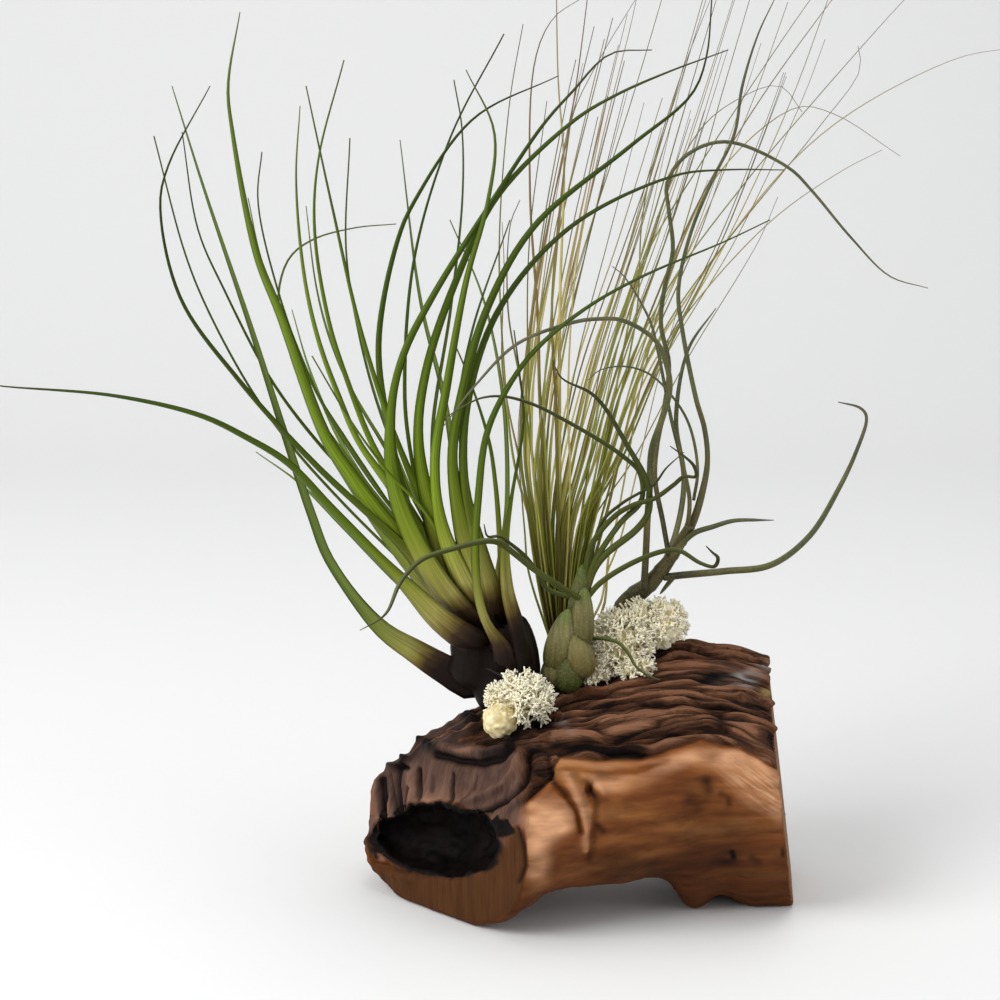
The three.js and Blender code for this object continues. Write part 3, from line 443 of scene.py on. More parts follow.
def carve_wood():
    """The wood's points once weathered, its faces, and its marks."""
    points, faces, ways = wood_blank()
    x, y, z = points.T
    across, up = seen(points)
    out, along, rise = cut_face(SLAB)
    cut_out = cut_face(LEFT_CUT)[0]
    away = unit(points - EYE)
    faced = eased(0.05, 0.35, -(ways * away).sum(1))

    # where each kind of surface lies: the dark top, whose edge wanders at the back and drops at
    # the back left, the leaning slab, the rotted heart, the smooth crescent and the sawn end
    edge = np.interp(x, *zip(*TOP_EDGE))
    edge = edge + (BACK_EDGE + 7 * wander(points, 22, 3) - edge) * eased(15, 50, y)
    edge = edge - 45 * eased(-15, -40, x) * eased(-25, 0, y)
    above = z - edge + 1.2 * layered(points, (14, 9, 6), 4)
    slab_off = (points - SLAB["at"]) @ out
    slab = eased(0.7, 0.93, ways @ out) * eased(-5, -2.5, slab_off) * eased(16, 8, x)
    slab = np.maximum(slab, eased(-8, -20, across) * eased(-171, -166, up) * eased(0.1, 0.4, faced))
    heart_at, heart_tops, heart_lows = zip(*HEART_SEEN)
    heart_top = np.interp(across, heart_at, heart_tops)
    heart_low = np.interp(across, heart_at, heart_lows)
    teeth = 4.2 * np.abs(wander(points, (5, 5, 60), 5)) - 1.6
    inside = np.minimum(heart_top - teeth - up, up - heart_low + 1.2 * wander(points, 9, 6))
    hollow = eased(1.16, 1.06, in_heart(points) + 0.05 * wander(points, 5, 30))
    left_end = eased(0.05, 0.3, faced) * eased(12, 6, x)
    heart = eased(-0.5, 0.8, inside) * left_end * eased(-62, -58, across) * eased(10, 7, across)
    heart = np.maximum(heart, hollow * eased(14, 6, x))
    slab = slab * (1 - heart) * (1 - eased(0, 6, across) * eased(-161, -165, up))
    crescent = eased(0.8, 0.95, ways @ cut_out) * (1 - heart) * (1 - slab) * eased(64, 58, z)
    crescent *= 1 - eased(-54, -60, across) * eased(-184, -179, up)
    sawn = eased(0.9, 0.97, ways[:, 0])
    top = eased(-0.9, 0.9, above) * (1 - slab) * (1 - heart) * (1 - crescent) * (1 - sawn)
    flat_top = top * eased(0.15, 0.6, ways[:, 2])

    # the layers of the weathered top, each with a steep ragged lip towards the front
    sway = waves(points, SWAY)
    level = (y + sway) / LAYER
    share = level - np.floor(level)
    step = np.where(share < LAYER_LIP, share / LAYER_LIP, 1 - (share - LAYER_LIP) / (1 - LAYER_LIP))
    bold = 0.7 + 0.75 * wander(points, (40, 13, 300), 9)
    swayed = y + LINE_STRETCH * sway
    fine = (swayed + 1.8 * wander(points, (15, 6, 60), 10)) / 4.3
    ply = np.column_stack([x / 24, swayed / 1.6, (z - edge) / 7])
    strand = np.abs(2 * (fine - np.floor(fine)) - 1)
    bent = np.column_stack([x, swayed, z])
    weather = LAYER_HIGH * bold * (step - 0.55)
    broad, slim = wander(bent, (52, 7.5, 300), 11), wander(bent, (28, 3.6, 90), 12)
    weather += 4.6 * (np.abs(broad) - 0.28) + 3.0 * (np.abs(slim) - 0.28)
    weather += 0.9 * (strand - 0.5) + 0.9 * wander(bent, (10, 2.0, 20), 32)
    crease_shade = 0.4 * hump(broad, 0.07) + 0.3 * hump(slim, 0.1)

    # the slab's flutes, the heart's lumps, the sapwood's soft hills
    run = (points - SLAB["at"]) @ along
    flutes = np.column_stack([run, np.zeros_like(run), (points - SLAB["at"]) @ rise])
    fluted = waves(flutes, SLAB_FLUTES) + 0.5 * layered(points, (6, 6, 3), 35, 2)
    lumps = waves(points, HEART_LUMPS)
    under = eased(-0.2, -0.7, ways[:, 2])
    rough = 1.1 * layered(points, (12, 12, 9), 19)
    plain = (1 - top) * (1 - slab) * (1 - heart) * (1 - sawn)
    push = weather * flat_top + fluted * slab + (lumps - eased(0, 6, inside)) * heart
    push += waves(points, SAPWOOD_HILLS) * plain * (1 - crescent) + rough * under * plain
    push += 0.3 * wander(flutes, (2.2, 1, 50), 20) * crescent

    # a groove under the top's edge with a swell below it, the pinched and swollen left tip,
    # and the ragged rim and outline on the left
    push -= 1.6 * hump(above, 1.1) * (1 - slab) * (1 - heart) * (1 - sawn)
    push += hump(above + 4.5, 2.6) * plain
    push -= 3.4 * eased(-52, -60, across) * eased(-171, -166, up) * eased(-128, -135, up)
    push += patches(across, up, KNOB) * faced
    rim = eased(9, 3, np.abs(above)) * eased(0, -15, across) * (1 - heart)
    push += 2.2 * rim * layered(points, (6, 6, 6), 33, 2)
    outline = eased(0.4, 0.1, np.abs((ways * away).sum(1))) * eased(0, -12, across)
    outline *= eased(-142, -136, up)
    push += outline * (2.6 * layered(points, (6, 6, 6), 37, 2) - 1.2)
    notch = ((across - NOTCH_AT[0]) / NOTCH_SIZE[0]) ** 2 + ((up - NOTCH_AT[1]) / NOTCH_SIZE[1]) ** 2
    push -= NOTCH_DEEP * np.exp(-notch)

    # the drawn stains, creases and knots, beginning with painted shade along the groove under the
    # top's edge
    dark = 0.6 * hump(above, 1.2) * (1 - slab)
    uneven = 0.85 + 0.5 * wander(points, (10, 10, 4), 34)
    dark += patches(across, up, STAINS_SHADE_AND_HIGHLIGHTS) * faced * uneven * (1 - crescent) * (1 - sawn)
    for path, width, height, darkness in FEATURES:
        near = beside(across, up, path, width) * faced * (1 - sawn)
        push += height * near
        dark += darkness * near

    # torn grain on the right, which lies across the rest
    torn = patches(across, up, TORN_PATCH) * faced * plain
    right, high = x - TORN_GRAIN_AT[0], z - TORN_GRAIN_AT[1]
    slant = np.column_stack([
        right * math.cos(TORN_GRAIN_TURN) + high * math.sin(TORN_GRAIN_TURN), y,
        high * math.cos(TORN_GRAIN_TURN) - right * math.sin(TORN_GRAIN_TURN)])
    push += 1.1 * torn * wander(slant, (16, 30, 3.4), 21)

    # the feet stay flat, and the rim of the rotted heart is torn to teeth
    push = np.clip(push, CARVED_IN, CARVED_OUT) * eased(0.2, 3.0, z)
    shaped = points + ways * push[:, None]
    lip = hump(up - heart_top, 2.2) * left_end * eased(8, 2, across) * (1 - crescent)
    shaped[:, 2] -= 1.5 * lip * teeth
    left_lip = eased(-45, -52, across) * hump(up + 153, 3.5) * left_end
    shaped[:, 2] -= 5.5 * left_lip
    shaped[:, 2] = np.maximum(shaped[:, 2], 0)

    # the grain runs along the wood, and upright on the left end
    grain = points + np.outer(2.6 * wander(points, (60, 40, 26), 22), (0, 0, 1))
    upright = np.clip(slab + crescent + heart, 0, 1)[:, None]
    grain = grain * (1 - upright) + np.column_stack([z * 1.0, y, run]) * upright
    glued = patches(across, up, GLUE_STAINS) * top
    glued *= eased(-0.25, 0.5, wander(bent, (12, 2.4, 300), 36))
    marks = {
        "grain": grain, "slant": slant, "ply": ply,
        "top": top, "slab": slab, "heart": heart, "crescent": crescent, "sawn": sawn,
        "dark": np.clip(dark, -1, 1.4), "torn": torn,
        "rust": patches(across, up, RUST_PATCHES) * faced * (1 - sawn),
        # painted highlight on the top's crests, painted shade in its grooves and creases
        "crest": np.clip(0.56 + weather / 6.0 - crease_shade, 0, 1),
        # darker towards the bottom: partly the sapwood's own colour, partly painted shade
        "low": eased(80, 8, z) * plain,
        "rings": np.hypot(y - PITH[0], z - PITH[1]) + 3 * wander(points, 30, 23),
        "glued": glued, "drop": patches(across, up, GLUE_DROP) * faced * (1 - sawn),
    }
    return shaped, faces, marks


def wood_surface(tree):
    """Dug root wood: warm tan sapwood under brown-black weathered layers, with fine grain."""
    grain = mark(tree, "grain", "Vector")
    streak = noise(tree, grain, (26, 1.6, 1.6), 5.0, 0.62)
    figure = noise(tree, grain, (60, 10, 10))
    cloud = noise(tree, grain, (18, 6, 6), 4.0)
    split = noise(tree, mark(tree, "slant", "Vector"), (15, 9, 1.3))
    # light: pale wood and painted highlights; the next mask: knots, stains and painted shade
    light = reckon(tree, "MAXIMUM", times(tree, mark(tree, "dark"), -1.0), 0.0)
    knots_stains_and_shade = reckon(tree, "MAXIMUM", mark(tree, "dark"), 0.0)
    mottle = reckon(tree, "MULTIPLY_ADD", streak, 0.45, times(tree, cloud, 0.55))

    # brushed sapwood, its torn patch, the smooth crescent on the left and the sawn end
    sap = ramp(tree, figure, (0.28, "#63361b"), (0.45, "#784523"), (0.58, "#8b562c"),
               (0.75, "#9f6b40"))
    # the lower sapwood darkened: partly its own colour, partly painted shade
    sap = blend(tree, times(tree, mark(tree, "low"), 0.8), sap, "#45220c")
    # pale wood and painted highlights on the lobe and rolls
    sap = blend(tree, light, sap, "#d6a078")
    sap = blend(tree, 1.0, sap, ramp(tree, cloud, (0.3, 0.7), (0.5, 0.98), (0.7, 1.16)), "MULTIPLY")
    fibre = ramp(tree, split, (0.3, "#8a5430"), (0.5, "#b88054"), (0.68, "#dcb08a"))
    sap = blend(tree, times(tree, mark(tree, "torn"), 0.6), sap, fibre)
    smooth_end = ramp(tree, mottle, (0.2, "#3d230f"), (0.5, "#4c2d15"), (0.8, "#5a381b"))
    sap = blend(tree, mark(tree, "crescent"), sap, smooth_end)
    ring = reckon(tree, "FRACT", reckon(tree, "DIVIDE", mark(tree, "rings"), RING_STEP))
    end = ramp(tree, ring, (0.0, "#6a4830"), (0.3, "#8a6446"), (1.0, "#7a563a"))
    sap = blend(tree, mark(tree, "sawn"), sap, end)
    thread = ramp(tree, streak, (0.3, 0.76), (0.5, 0.98), (0.72, 1.12))
    sap = blend(tree, 0.42, sap, thread, "MULTIPLY")

    # weathered layers on top, whose colour follows their relief: painted highlight on the crests and
    # painted shade in the grooves and creases; the fluted slab and the rotted heart
    sheets = add(tree, "TexNoise", Scale=0.75, Detail=6.0, Roughness=0.72,
                 Vector=mark(tree, "ply", "Vector")).outputs[0]
    ridge_light_and_grain = reckon(tree, "ADD", mark(tree, "crest"),
                  times(tree, reckon(tree, "SUBTRACT", sheets, 0.5), 1.9))
    top = ramp(tree, ridge_light_and_grain, (0.1, "#0b0604"), (0.34, "#24140d"), (0.56, "#40281b"),
               (0.78, "#5e3e2b"), (1.0, "#8a6048"))
    top = blend(tree, ranged(tree, cloud, 0.5, 0.68, 0.0, 0.35), top, "#6e4227")
    slab = ramp(tree, mottle, (0.25, "#33211a"), (0.5, "#574036"), (0.75, "#75594b"))
    # the slab's pale lip and painted highlights on its columns
    slab = blend(tree, light, slab, "#a87c62")
    heart = ramp(tree, figure, (0.35, "#070404"), (0.7, "#120b08"))

    colour = blend(tree, mark(tree, "top"), sap, top)
    colour = blend(tree, mark(tree, "slab"), colour, slab)
    colour = blend(tree, mark(tree, "heart"), colour, heart)
    colour = blend(tree, mark(tree, "rust"), colour, "#a35c2a")
    # knots, stains and painted shade in the creases, cracks and hollows
    colour = blend(tree, reckon(tree, "MINIMUM", knots_stains_and_shade, 0.97), colour, "#0c0605")
    colour = blend(tree, mark(tree, "glued"), colour, "#a8a4a0")
    colour = blend(tree, mark(tree, "drop"), colour, "#a38c58")
    relief = blend(tree, mark(tree, "top"), streak, sheets)
    depth = reckon(tree, "MULTIPLY_ADD", mark(tree, "top"), 0.0032, 0.0004)
    return {"Base Color": colour, "Roughness": ranged(tree, streak, 0.0, 1.0, 0.75, 0.5),
            "Normal": raised(tree, relief, 0.8, depth)}


root_wood = finish("oiled root wood", wood_surface, Specular_IOR_Level=0.08)
driftwood = mesh_piece("root_wood_chunk", *carve_wood(), root_wood)
stands_for(driftwood, "root_wood", "driftwood")

# =============================================================================================
# Rosette plant
# The largest air plant: about thirty leaves, broad and nearly black where they clasp the heart,
# which narrow to long green channels and end in dry grey threads. Grown, and glued on.
# =============================================================================================
LATE_LEAN = 1.4                           # a leaf leans in depth late along its run
ROSETTE_ROOT = (-2, -76, 23)              # across, up, depth
ROSETTE_HEART = [                         # place on the board, radii, lean, taper upwards
    ((1, -80, 22), (18.5, 13, 22), -0.05, 0.25),
    ((-13, -86, 22), (15.5, 11, 9.5), 0.42, 0.0),
    ((-14, -76, 20), (13, 10, 9), 0.5, 0.0),
    ((12.5, -77, 19), (9.5, 10, 22), -0.08, 0.4),
    ((0, -95, 21), (14, 13, 14), 0.0, 0.0),
]
# Width, what the clasping base adds to the half width, the share of the run where that ends,
# depth at the base, lean in depth, tone from -1 dark to 1 pale, then the run on the board.
ROSETTE_LEAVES = [
    (14, 6, 0.3, 22, -10, -0.9, [(-12, -91), (-25, -85), (-42, -75), (-60, -63), (-85, -30),
     (-94, -7), (-108, 35), (-124, 85), (-148, 156), (-164, 207)]),
    (13, 6.5, 0.3, 12, -32, -0.3, [(-13, -73), (-29, -62), (-47, -43), (-85, -4), (-106, 18),
     (-127, 31), (-150, 42), (-193, 52), (-250, 57), (-262, 59)]),
    (9, 4.5, 0.3, 18, -25, -0.6, [(-30, -46), (-49, -23), (-92, 17), (-131, 60), (-160, 101),
     (-170, 147), (-166, 167), (-145, 207)]),
    (6, 2.5, 0.3, 28, 45, -0.6, [(-50, -30), (-80, 0), (-105, 28), (-125, 56), (-147, 97),
     (-158, 125), (-173, 182)]),
    (6, 2.5, 0.3, 26, 22, -0.4, [(-40, -35), (-60, -4), (-89, 26), (-114, 59), (-138, 105),
     (-151, 135), (-159, 184)]),
    (20, 5, 0.42, 20, -10, 0.35, [(-18, -56), (-34, -42), (-55, -17), (-75, 11), (-88, 32),
     (-110, 92), (-122, 123), (-134, 185), (-136, 207), (-130, 244)]),
    (7, 3, 0.35, 26, 32, 0, [(-37, -30), (-57, 0), (-77, 30), (-94, 58), (-112, 108), (-121, 150),
     (-119, 174)]),
    (7, 3, 0.35, 28, 58, -0.3, [(-40, -22), (-65, 10), (-90, 50), (-107, 90), (-119, 119),
     (-126, 151)]),
    (6, 3, 0.35, 34, 100, -0.6, [(-45, -20), (-72, 15), (-94, 46), (-105, 73), (-111, 100),
     (-106, 120), (-94, 130), (-73, 136), (-52, 138)]),
    (10, 4.5, 0.45, 21, -38, 0.45, [(-35, -25), (-52, 2), (-71, 29), (-81, 52), (-91, 80),
     (-98, 112), (-102, 160), (-100, 197)]),
    (11, 4.5, 0.4, 24, 6, 0.3, [(-32, -30), (-49, 0), (-65, 29), (-76, 57), (-86, 89), (-93, 135),
     (-91, 170), (-78, 220)]),
    (11, 5, 0.42, 20, -20, 0.2, [(-25, -40), (-36, -11), (-48, 19), (-58, 45), (-71, 88),
     (-84, 146), (-97, 207)]),
    (6, 3, 0.35, 30, 66, -0.1, [(-30, -25), (-47, 10), (-62, 50), (-71, 85), (-77, 125),
     (-75, 181)]),
    (7, 3, 0.35, 32, 88, -0.3, [(-32, -20), (-57, 25), (-74, 54), (-85, 80), (-92, 107),
     (-97, 147)]),
    (5, 3, 0.35, 20, -52, 0.4, [(-35, -10), (-57, 15), (-75, 40), (-94, 72)]),
    (11, 5, 0.4, 26, 14, -0.3, [(-27, -42), (-44, -15), (-55, 30), (-61, 78), (-51, 131),
     (-42, 151), (-13, 191), (29, 212)]),
    (13, 7, 0.44, 15, -48, -0.15, [(-27, -50), (-42, -25), (-54, 8), (-55, 45), (-49, 72),
     (-35, 100), (-5, 148), (21, 187), (36, 204), (55, 223), (76, 225)]),
    (8, 4, 0.35, 27, 42, -0.35, [(-25, -40), (-36, -15), (-46, 30), (-48, 59), (-43, 121),
     (-25, 181), (2, 233)]),
    (13, 5, 0.35, 21, -62, -0.1, [(-22, -42), (-34, -10), (-41, 30), (-37, 65), (-22, 110),
     (-2, 151), (36, 189), (57, 202), (84, 214), (114, 225)]),
    (15, 6, 0.32, 14, -44, 0.25, [(-20, -40), (-30, -12), (-33, 20), (-27, 57), (-17, 110),
     (-6, 150), (-3, 184), (-17, 215)]),
    (7, 3, 0.35, 34, 105, -0.6, [(-22, -35), (-32, 0), (-34, 35), (-25, 95), (-19, 149),
     (-19, 185), (-23, 210)]),
    (13, 5, 0.3, 15, -84, -0.45, [(-10, -45), (-19, -15), (-24, 20), (-20, 50), (-7, 95),
     (17, 137), (65, 177), (95, 202), (103, 221), (106, 252)]),
    (11, 5, 0.3, 16, -66, -0.6, [(-5, -50), (-11, -25), (-18, 10), (-16, 50), (0, 96), (36, 137),
     (87, 162), (112, 165), (142, 165)]),
    (10, 6.5, 0.16, 3, -48, -0.35, [(3, -84), (0, -73), (-5, -65), (-8.7, -57), (-11.5, -44),
     (-12.5, -25), (-11, 0), (-6, 35), (9, 64), (22, 79), (45, 97), (72, 112), (112, 129),
     (135, 140)]),
    (11, 5, 0.4, 24, 14, 0.1, [(2, -55), (0, -30), (-3, 10), (-6, 30), (-16, 62), (-24, 81)]),
    (10, 11, 0.6, 11, -12, -0.25, [(15, -84), (13, -71), (10, -60), (6, -45), (4, -22), (6, 0),
     (12, 40), (10, 62), (7, 85)]),
    (9, 4, 0.35, 28, 64, -0.1, [(-2, -50), (-10, -25), (-19, 22), (-21, 45), (-14, 85),
     (5, 140)]),
    (10, 4, 0.35, 36, 150, -0.5, [(-10, -40), (-20, 0), (-28, 50), (-40, 100), (-50, 180)]),
    (9, 4, 0.35, 36, 135, -0.5, [(0, -45), (4, 0), (2, 50), (-8, 100), (-25, 140)]),
    (9, 4, 0.35, 36, 138, -0.3, [(-30, -45), (-55, -10), (-80, 30), (-95, 65), (-104, 95)]),
    (9, 4, 0.35, 34, 120, -0.5, [(-28, -60), (-50, -42), (-78, -14), (-100, 8), (-122, 24)]),
]
# How far a leaf turns its keel away from the front, in degrees, by its lean in depth.
LEAF_FACING = [(-80, 0), (-20, 22), (20, 40), (45, 52), (46, 128), (140, 160)]
DARK_MORE = {0: 17, 23: 8, 25: 24}        # leaves whose dark base reaches so many mm further
ROSETTE_STEPS = 64
LEAF_TIP = 0.26                           # a leaf's last half width
BLADE_SHARE = 0.26                        # a blade's half width, as a share of its table width
BLADE_SIDE = np.linspace(-1, 1, 9)        # places across a blade


def on_sight(across, up, depth):
    """The point in space that the viewer sees at a place on the board, at a depth in Y."""
    way = np.array([
        across,
        SIGHT_DISTANCE * math.cos(SIGHT_DROP) + up * math.sin(SIGHT_DROP),
        -SIGHT_DISTANCE * math.sin(SIGHT_DROP) + up * math.cos(SIGHT_DROP),
    ])
    return EYE + way * (depth - EYE[1]) / way[1]


def leaf_points(root, run, lean, start=None):
    """A leaf's points in space: its root, then its run with the lean in depth growing late."""
    start = root[2] if start is None else start
    return [on_sight(*root)] + [
        on_sight(a, u, start + lean * ((i + 1) / len(run)) ** LATE_LEAN)
        for i, (a, u) in enumerate(run)]


def smooth_run(points, steps):
    """Evenly spaced places on a smooth curve through points, and the curve's length."""
    points = np.asarray(points, float)
    knots = np.vstack([2 * points[0] - points[1], points, 2 * points[-1] - points[-2]])
    gaps = np.sqrt(np.linalg.norm(np.diff(knots, axis=0), axis=1))
    share = np.linspace(0, 1, 24, endpoint=False)[:, None]
    stretches = []
    for i in range(1, len(knots) - 2):
        a, b, c, d = knots[i - 1:i + 3]
        before, here, after = gaps[i - 1:i + 2]
        leave = here * ((b - a) / before - (c - a) / (before + here) + (c - b) / here)
        arrive = here * ((c - b) / here - (d - b) / (here + after) + (d - c) / after)
        stretches.append(b + leave * share + (3 * (c - b) - 2 * leave - arrive) * share ** 2
                         + (2 * (b - c) + leave + arrive) * share ** 3)
    line = np.vstack(stretches + [points[-1:]])
    gone = np.concatenate([[0], np.cumsum(np.linalg.norm(np.diff(line, axis=0), axis=1))])
    even = np.linspace(0, gone[-1], steps + 1)
    return np.column_stack([np.interp(even, gone, line[:, k]) for k in range(3)]), gone[-1]


def swept(points, section, steps, side=(0, 0, 1), roll=0.0, twist=0.0):
    """A closed skin along a smooth run. Its breadth lies square to side, turned by roll, and
    twists. section gives, for shares of the run, rings of (across, out) places in mm. Returns
    points, faces, and each point's share and mm along."""
    line, length = smooth_run(points, steps)
    ahead = unit(np.gradient(line, axis=0))
    wide = np.cross(side, line[-1] - line[0])
    wides = []
    for way in ahead:
        wide = wide - way * (wide @ way)
        wide = wide / np.linalg.norm(wide)
        wides.append(wide)
    wides = np.array(wides)
    outs = np.cross(ahead, wides)
    share = np.linspace(0, 1, steps + 1)
    turn = (roll + twist * share)[:, None]
    wides, outs = (wides * np.cos(turn) + outs * np.sin(turn),
                   outs * np.cos(turn) - wides * np.sin(turn))
    rings = section(share)
    skin = line[:, None] + wides[:, None] * rings[..., :1] + outs[:, None] * rings[..., 1:]
    count = rings.shape[1]
    faces = [
        (r * count + i, r * count + (i + 1) % count,
         (r + 1) * count + (i + 1) % count, (r + 1) * count + i)
        for r in range(steps) for i in range(count)]
    faces += [tuple(range(count))[::-1], tuple(range(steps * count, (steps + 1) * count))]
    share = np.repeat(share, count)
    return skin.reshape(-1, 3), faces, share, share * length


def blade(half, rise, thick):
    """Rings of a channelled blade: its keel side from edge to edge, and its hollow side back."""
    half, rise, thick = (np.asarray(v)[:, None] for v in (half, rise, thick))
    low = BLADE_SIDE[None]
    high = BLADE_SIDE[-2:0:-1][None]
    curve_low = rise * np.abs(low) ** 1.6 - thick * (1 - low ** 2 * 0.75) * 0.6
    curve_high = rise * np.abs(high) ** 1.6 + thick * (1 - high ** 2 * 0.75) * 0.4
    return np.stack([np.hstack([half * low, half * high]), np.hstack([curve_low, curve_high])], -1)


def lump_faces(sides, bands):
    """The faces of rings of points between a first point and a last one."""
    last = 1 + sides * (bands - 1)
    faces = [(0, 1 + i, 1 + (i + 1) % sides) for i in range(sides)]
    faces += [(last, last - sides + (i + 1) % sides, last - sides + i) for i in range(sides)]
    for b in range(bands - 2):
        for i in range(sides):
            a, c = 1 + b * sides + i, 1 + b * sides + (i + 1) % sides
            faces.append((a, a + sides, c + sides, c))
    return faces


def ball(place, radii, lean, taper=0.0, sides=28, bands=20):
    """The points and faces of a rounded lump that tapers upwards, leant by an angle about Y."""
    rings = []
    for b in range(1, bands):
        down = math.pi * b / bands
        turn = 2 * math.pi * np.arange(sides) / sides
        rings.append(np.column_stack([
            math.sin(down) * np.cos(turn), math.sin(down) * np.sin(turn),
            np.full(sides, math.cos(down))]))
    points = np.vstack([[[0, 0, 1]], *rings, [[0, 0, -1]]])
    points[:, :2] *= 1 - taper * (points[:, 2:] + 1) / 2
    points = points * radii
    spin = np.array([[math.cos(lean), 0, math.sin(lean)], [0, 1, 0],
                     [-math.sin(lean), 0, math.cos(lean)]])
    return points @ spin.T + on_sight(*place), lump_faces(sides, bands)


def gathered(parts):
    """Points, faces and marks of several parts as one."""
    points, faces, marks, count = [], [], {}, 0
    for part_points, part_faces, part_marks in parts:
        points.append(part_points)
        faces += [tuple(i + count for i in face) for face in part_faces]
        for label, values in part_marks.items():
            marks.setdefault(label, []).append(values)
        count += len(part_points)
    return np.vstack(points), faces, {k: np.concatenate(v) for k, v in marks.items()}


def leaf_marks(share, along, tone, ring):
    """A leaf's marks: share and mm along it, its tone, and the place round it for fine lines."""
    around = np.tile(ring, len(share) // len(ring))
    return {"share": share, "reach": along, "tone": np.full(len(share), float(tone)),
            "inner": around, "margin": 0 * along,
            "lines": np.column_stack([along, around * 9, 7.0 * tone + 0 * along])}


def rosette_leaf(number, wide, flare, clasped, depth, lean, tone, run):
    """A channelled leaf that is broad where it clasps the heart, with marks across its blade, among
    them painted shade towards its edges.
    """
    def section(share):
        clasp = 1 - eased(0.02, clasped, share)
        half = LEAF_TIP + wide * BLADE_SHARE * (1 - share) ** 1.05 + flare * clasp
        return blade(half, half * (0.3 + 0.4 * eased(0.2, 0.5, share)), 1.5 - 0.8 * share)

    face = math.radians(np.interp(lean, *zip(*LEAF_FACING))) + 0.25 * math.sin(2.4 * number)
    skin, faces, share, along = swept(
        leaf_points(ROSETTE_ROOT, run, lean, depth), section, ROSETTE_STEPS, (0, 1, 0),
        math.copysign(face, run[len(run) // 2][0] - ROSETTE_ROOT[0]), 0.5 * math.sin(1.7 * number))
    along = along - DARK_MORE.get(number, 0)
    ring = np.concatenate([BLADE_SIDE * 0 - 1, BLADE_SIDE[-2:0:-1] * 0 + 1])
    marks = leaf_marks(share, along, tone, ring)
    side = np.concatenate([BLADE_SIDE, BLADE_SIDE[-2:0:-1]])
    marks["margin"] = np.tile(np.abs(side), ROSETTE_STEPS + 1)
    marks["lines"][:, 1] = 9 * np.tile(side, ROSETTE_STEPS + 1)
    return skin, faces, marks


def plain_marks(count, tone=0.0):
    """Marks for what is at a plant's root and has no length of its own."""
    zero = np.zeros(count)
    return {"share": zero, "reach": zero, "tone": zero + tone, "inner": zero - 1,
            "margin": zero, "lines": np.zeros((count, 3))}


def rosette_heart():
    """The dark heart that the leaves clasp, as one smooth lump."""
    points, faces, _ = gathered([(*ball(*lump), {}) for lump in ROSETTE_HEART])
    points, faces, _ = remeshed(points, faces, 1.4, 30)
    marks = plain_marks(len(points))
    marks["lines"] = np.column_stack([points[:, 2], points[:, 0], points[:, 1]])
    return points, faces, marks


def veined(tree, colour, vein, deep, pale):
    """A colour that fine veins darken and lighten, from deep to pale."""
    return blend(tree, 1.0, colour, ramp(tree, vein, (0.3, deep), (0.7, pale)), "MULTIPLY")


def rosette_surface(tree):
    """Smooth leaf skin: anthocyanin-black base, waxy green blade with painted shade towards its
    edges, dry thread of a tip.
    """
    lines = mark(tree, "lines", "Vector")
    vein = noise(tree, lines, (60, 1.1, 1), 4.0)
    cloud = noise(tree, lines, (25, 12, 1))
    uneven = times(tree, reckon(tree, "SUBTRACT", cloud, 0.5), 20.0)
    reach = reckon(tree, "ADD", mark(tree, "reach"), uneven)
    base = ramp(tree, reckon(tree, "DIVIDE", reach, 100.0), (0.0, "#150b07"), (0.22, "#1f120c"),
                (0.3, "#3b2a17"), (0.36, "#6c5c2a"), (0.44, "#9f9650"), (0.6, "#9c9a44"),
                (0.85, "#869226"))
    length = ramp(tree, mark(tree, "share"), (0.1, "#8a962a"), (0.3, "#6e8618"), (0.5, "#506610"),
                  (0.75, "#3c5014"), (0.9, "#3f4722"), (1.0, "#5a4c44"))
    colour = blend(tree, ranged(tree, mark(tree, "reach"), 50.0, 110.0), base, length)
    beyond = ranged(tree, mark(tree, "reach"), 32.0, 75.0)
    light = times(tree, reckon(tree, "MAXIMUM", mark(tree, "tone"), 0.0), 0.7)
    dark = times(tree, reckon(tree, "MINIMUM", mark(tree, "tone"), 0.0), -0.95)
    hollow = ranged(tree, mark(tree, "inner"), 0.0, 1.0, 0.0, 0.3)
    # painted shade towards the blade's edges, which leaves a lit band along its keel
    margin = times(tree, reckon(tree, "POWER", mark(tree, "margin"), 2.0), 0.75)
    for share, tint in (
            (light, "#a2bb38"), (dark, "#28300a"), (hollow, "#9cb458"), (margin, "#344204")):
        colour = blend(tree, times(tree, share, beyond), colour, tint)
    return {"Base Color": veined(tree, colour, vein, 0.6, 1.3),
            "Roughness": ranged(tree, vein, 0.0, 1.0, 0.36, 0.6),
            "Normal": raised(tree, vein, 0.4, 0.0002)}


rosette_skin = finish("waxy rosette leaf", rosette_surface, Specular_IOR_Level=0.12)
rosette = mesh_piece("rosette_leaves", *gathered(
    [rosette_heart()] + [rosette_leaf(i, *leaf) for i, leaf in enumerate(ROSETTE_LEAVES)]),
    rosette_skin)
stands_for(rosette, "rosette_leaf", "rosette_plant")

# =============================================================================================
# Grassy tuft
# An air plant of thin rush-like leaves, olive at the sheath and straw or brown towards the
# tips, some already dry. It fans up and to the right. Grown, and glued on behind the bulb.
# =============================================================================================
GRASS_ROOT = (30, -84, 47)
GRASS_SHEATH = ((30, -76, 47), (9, 9, 20), 0.0, 0.3)
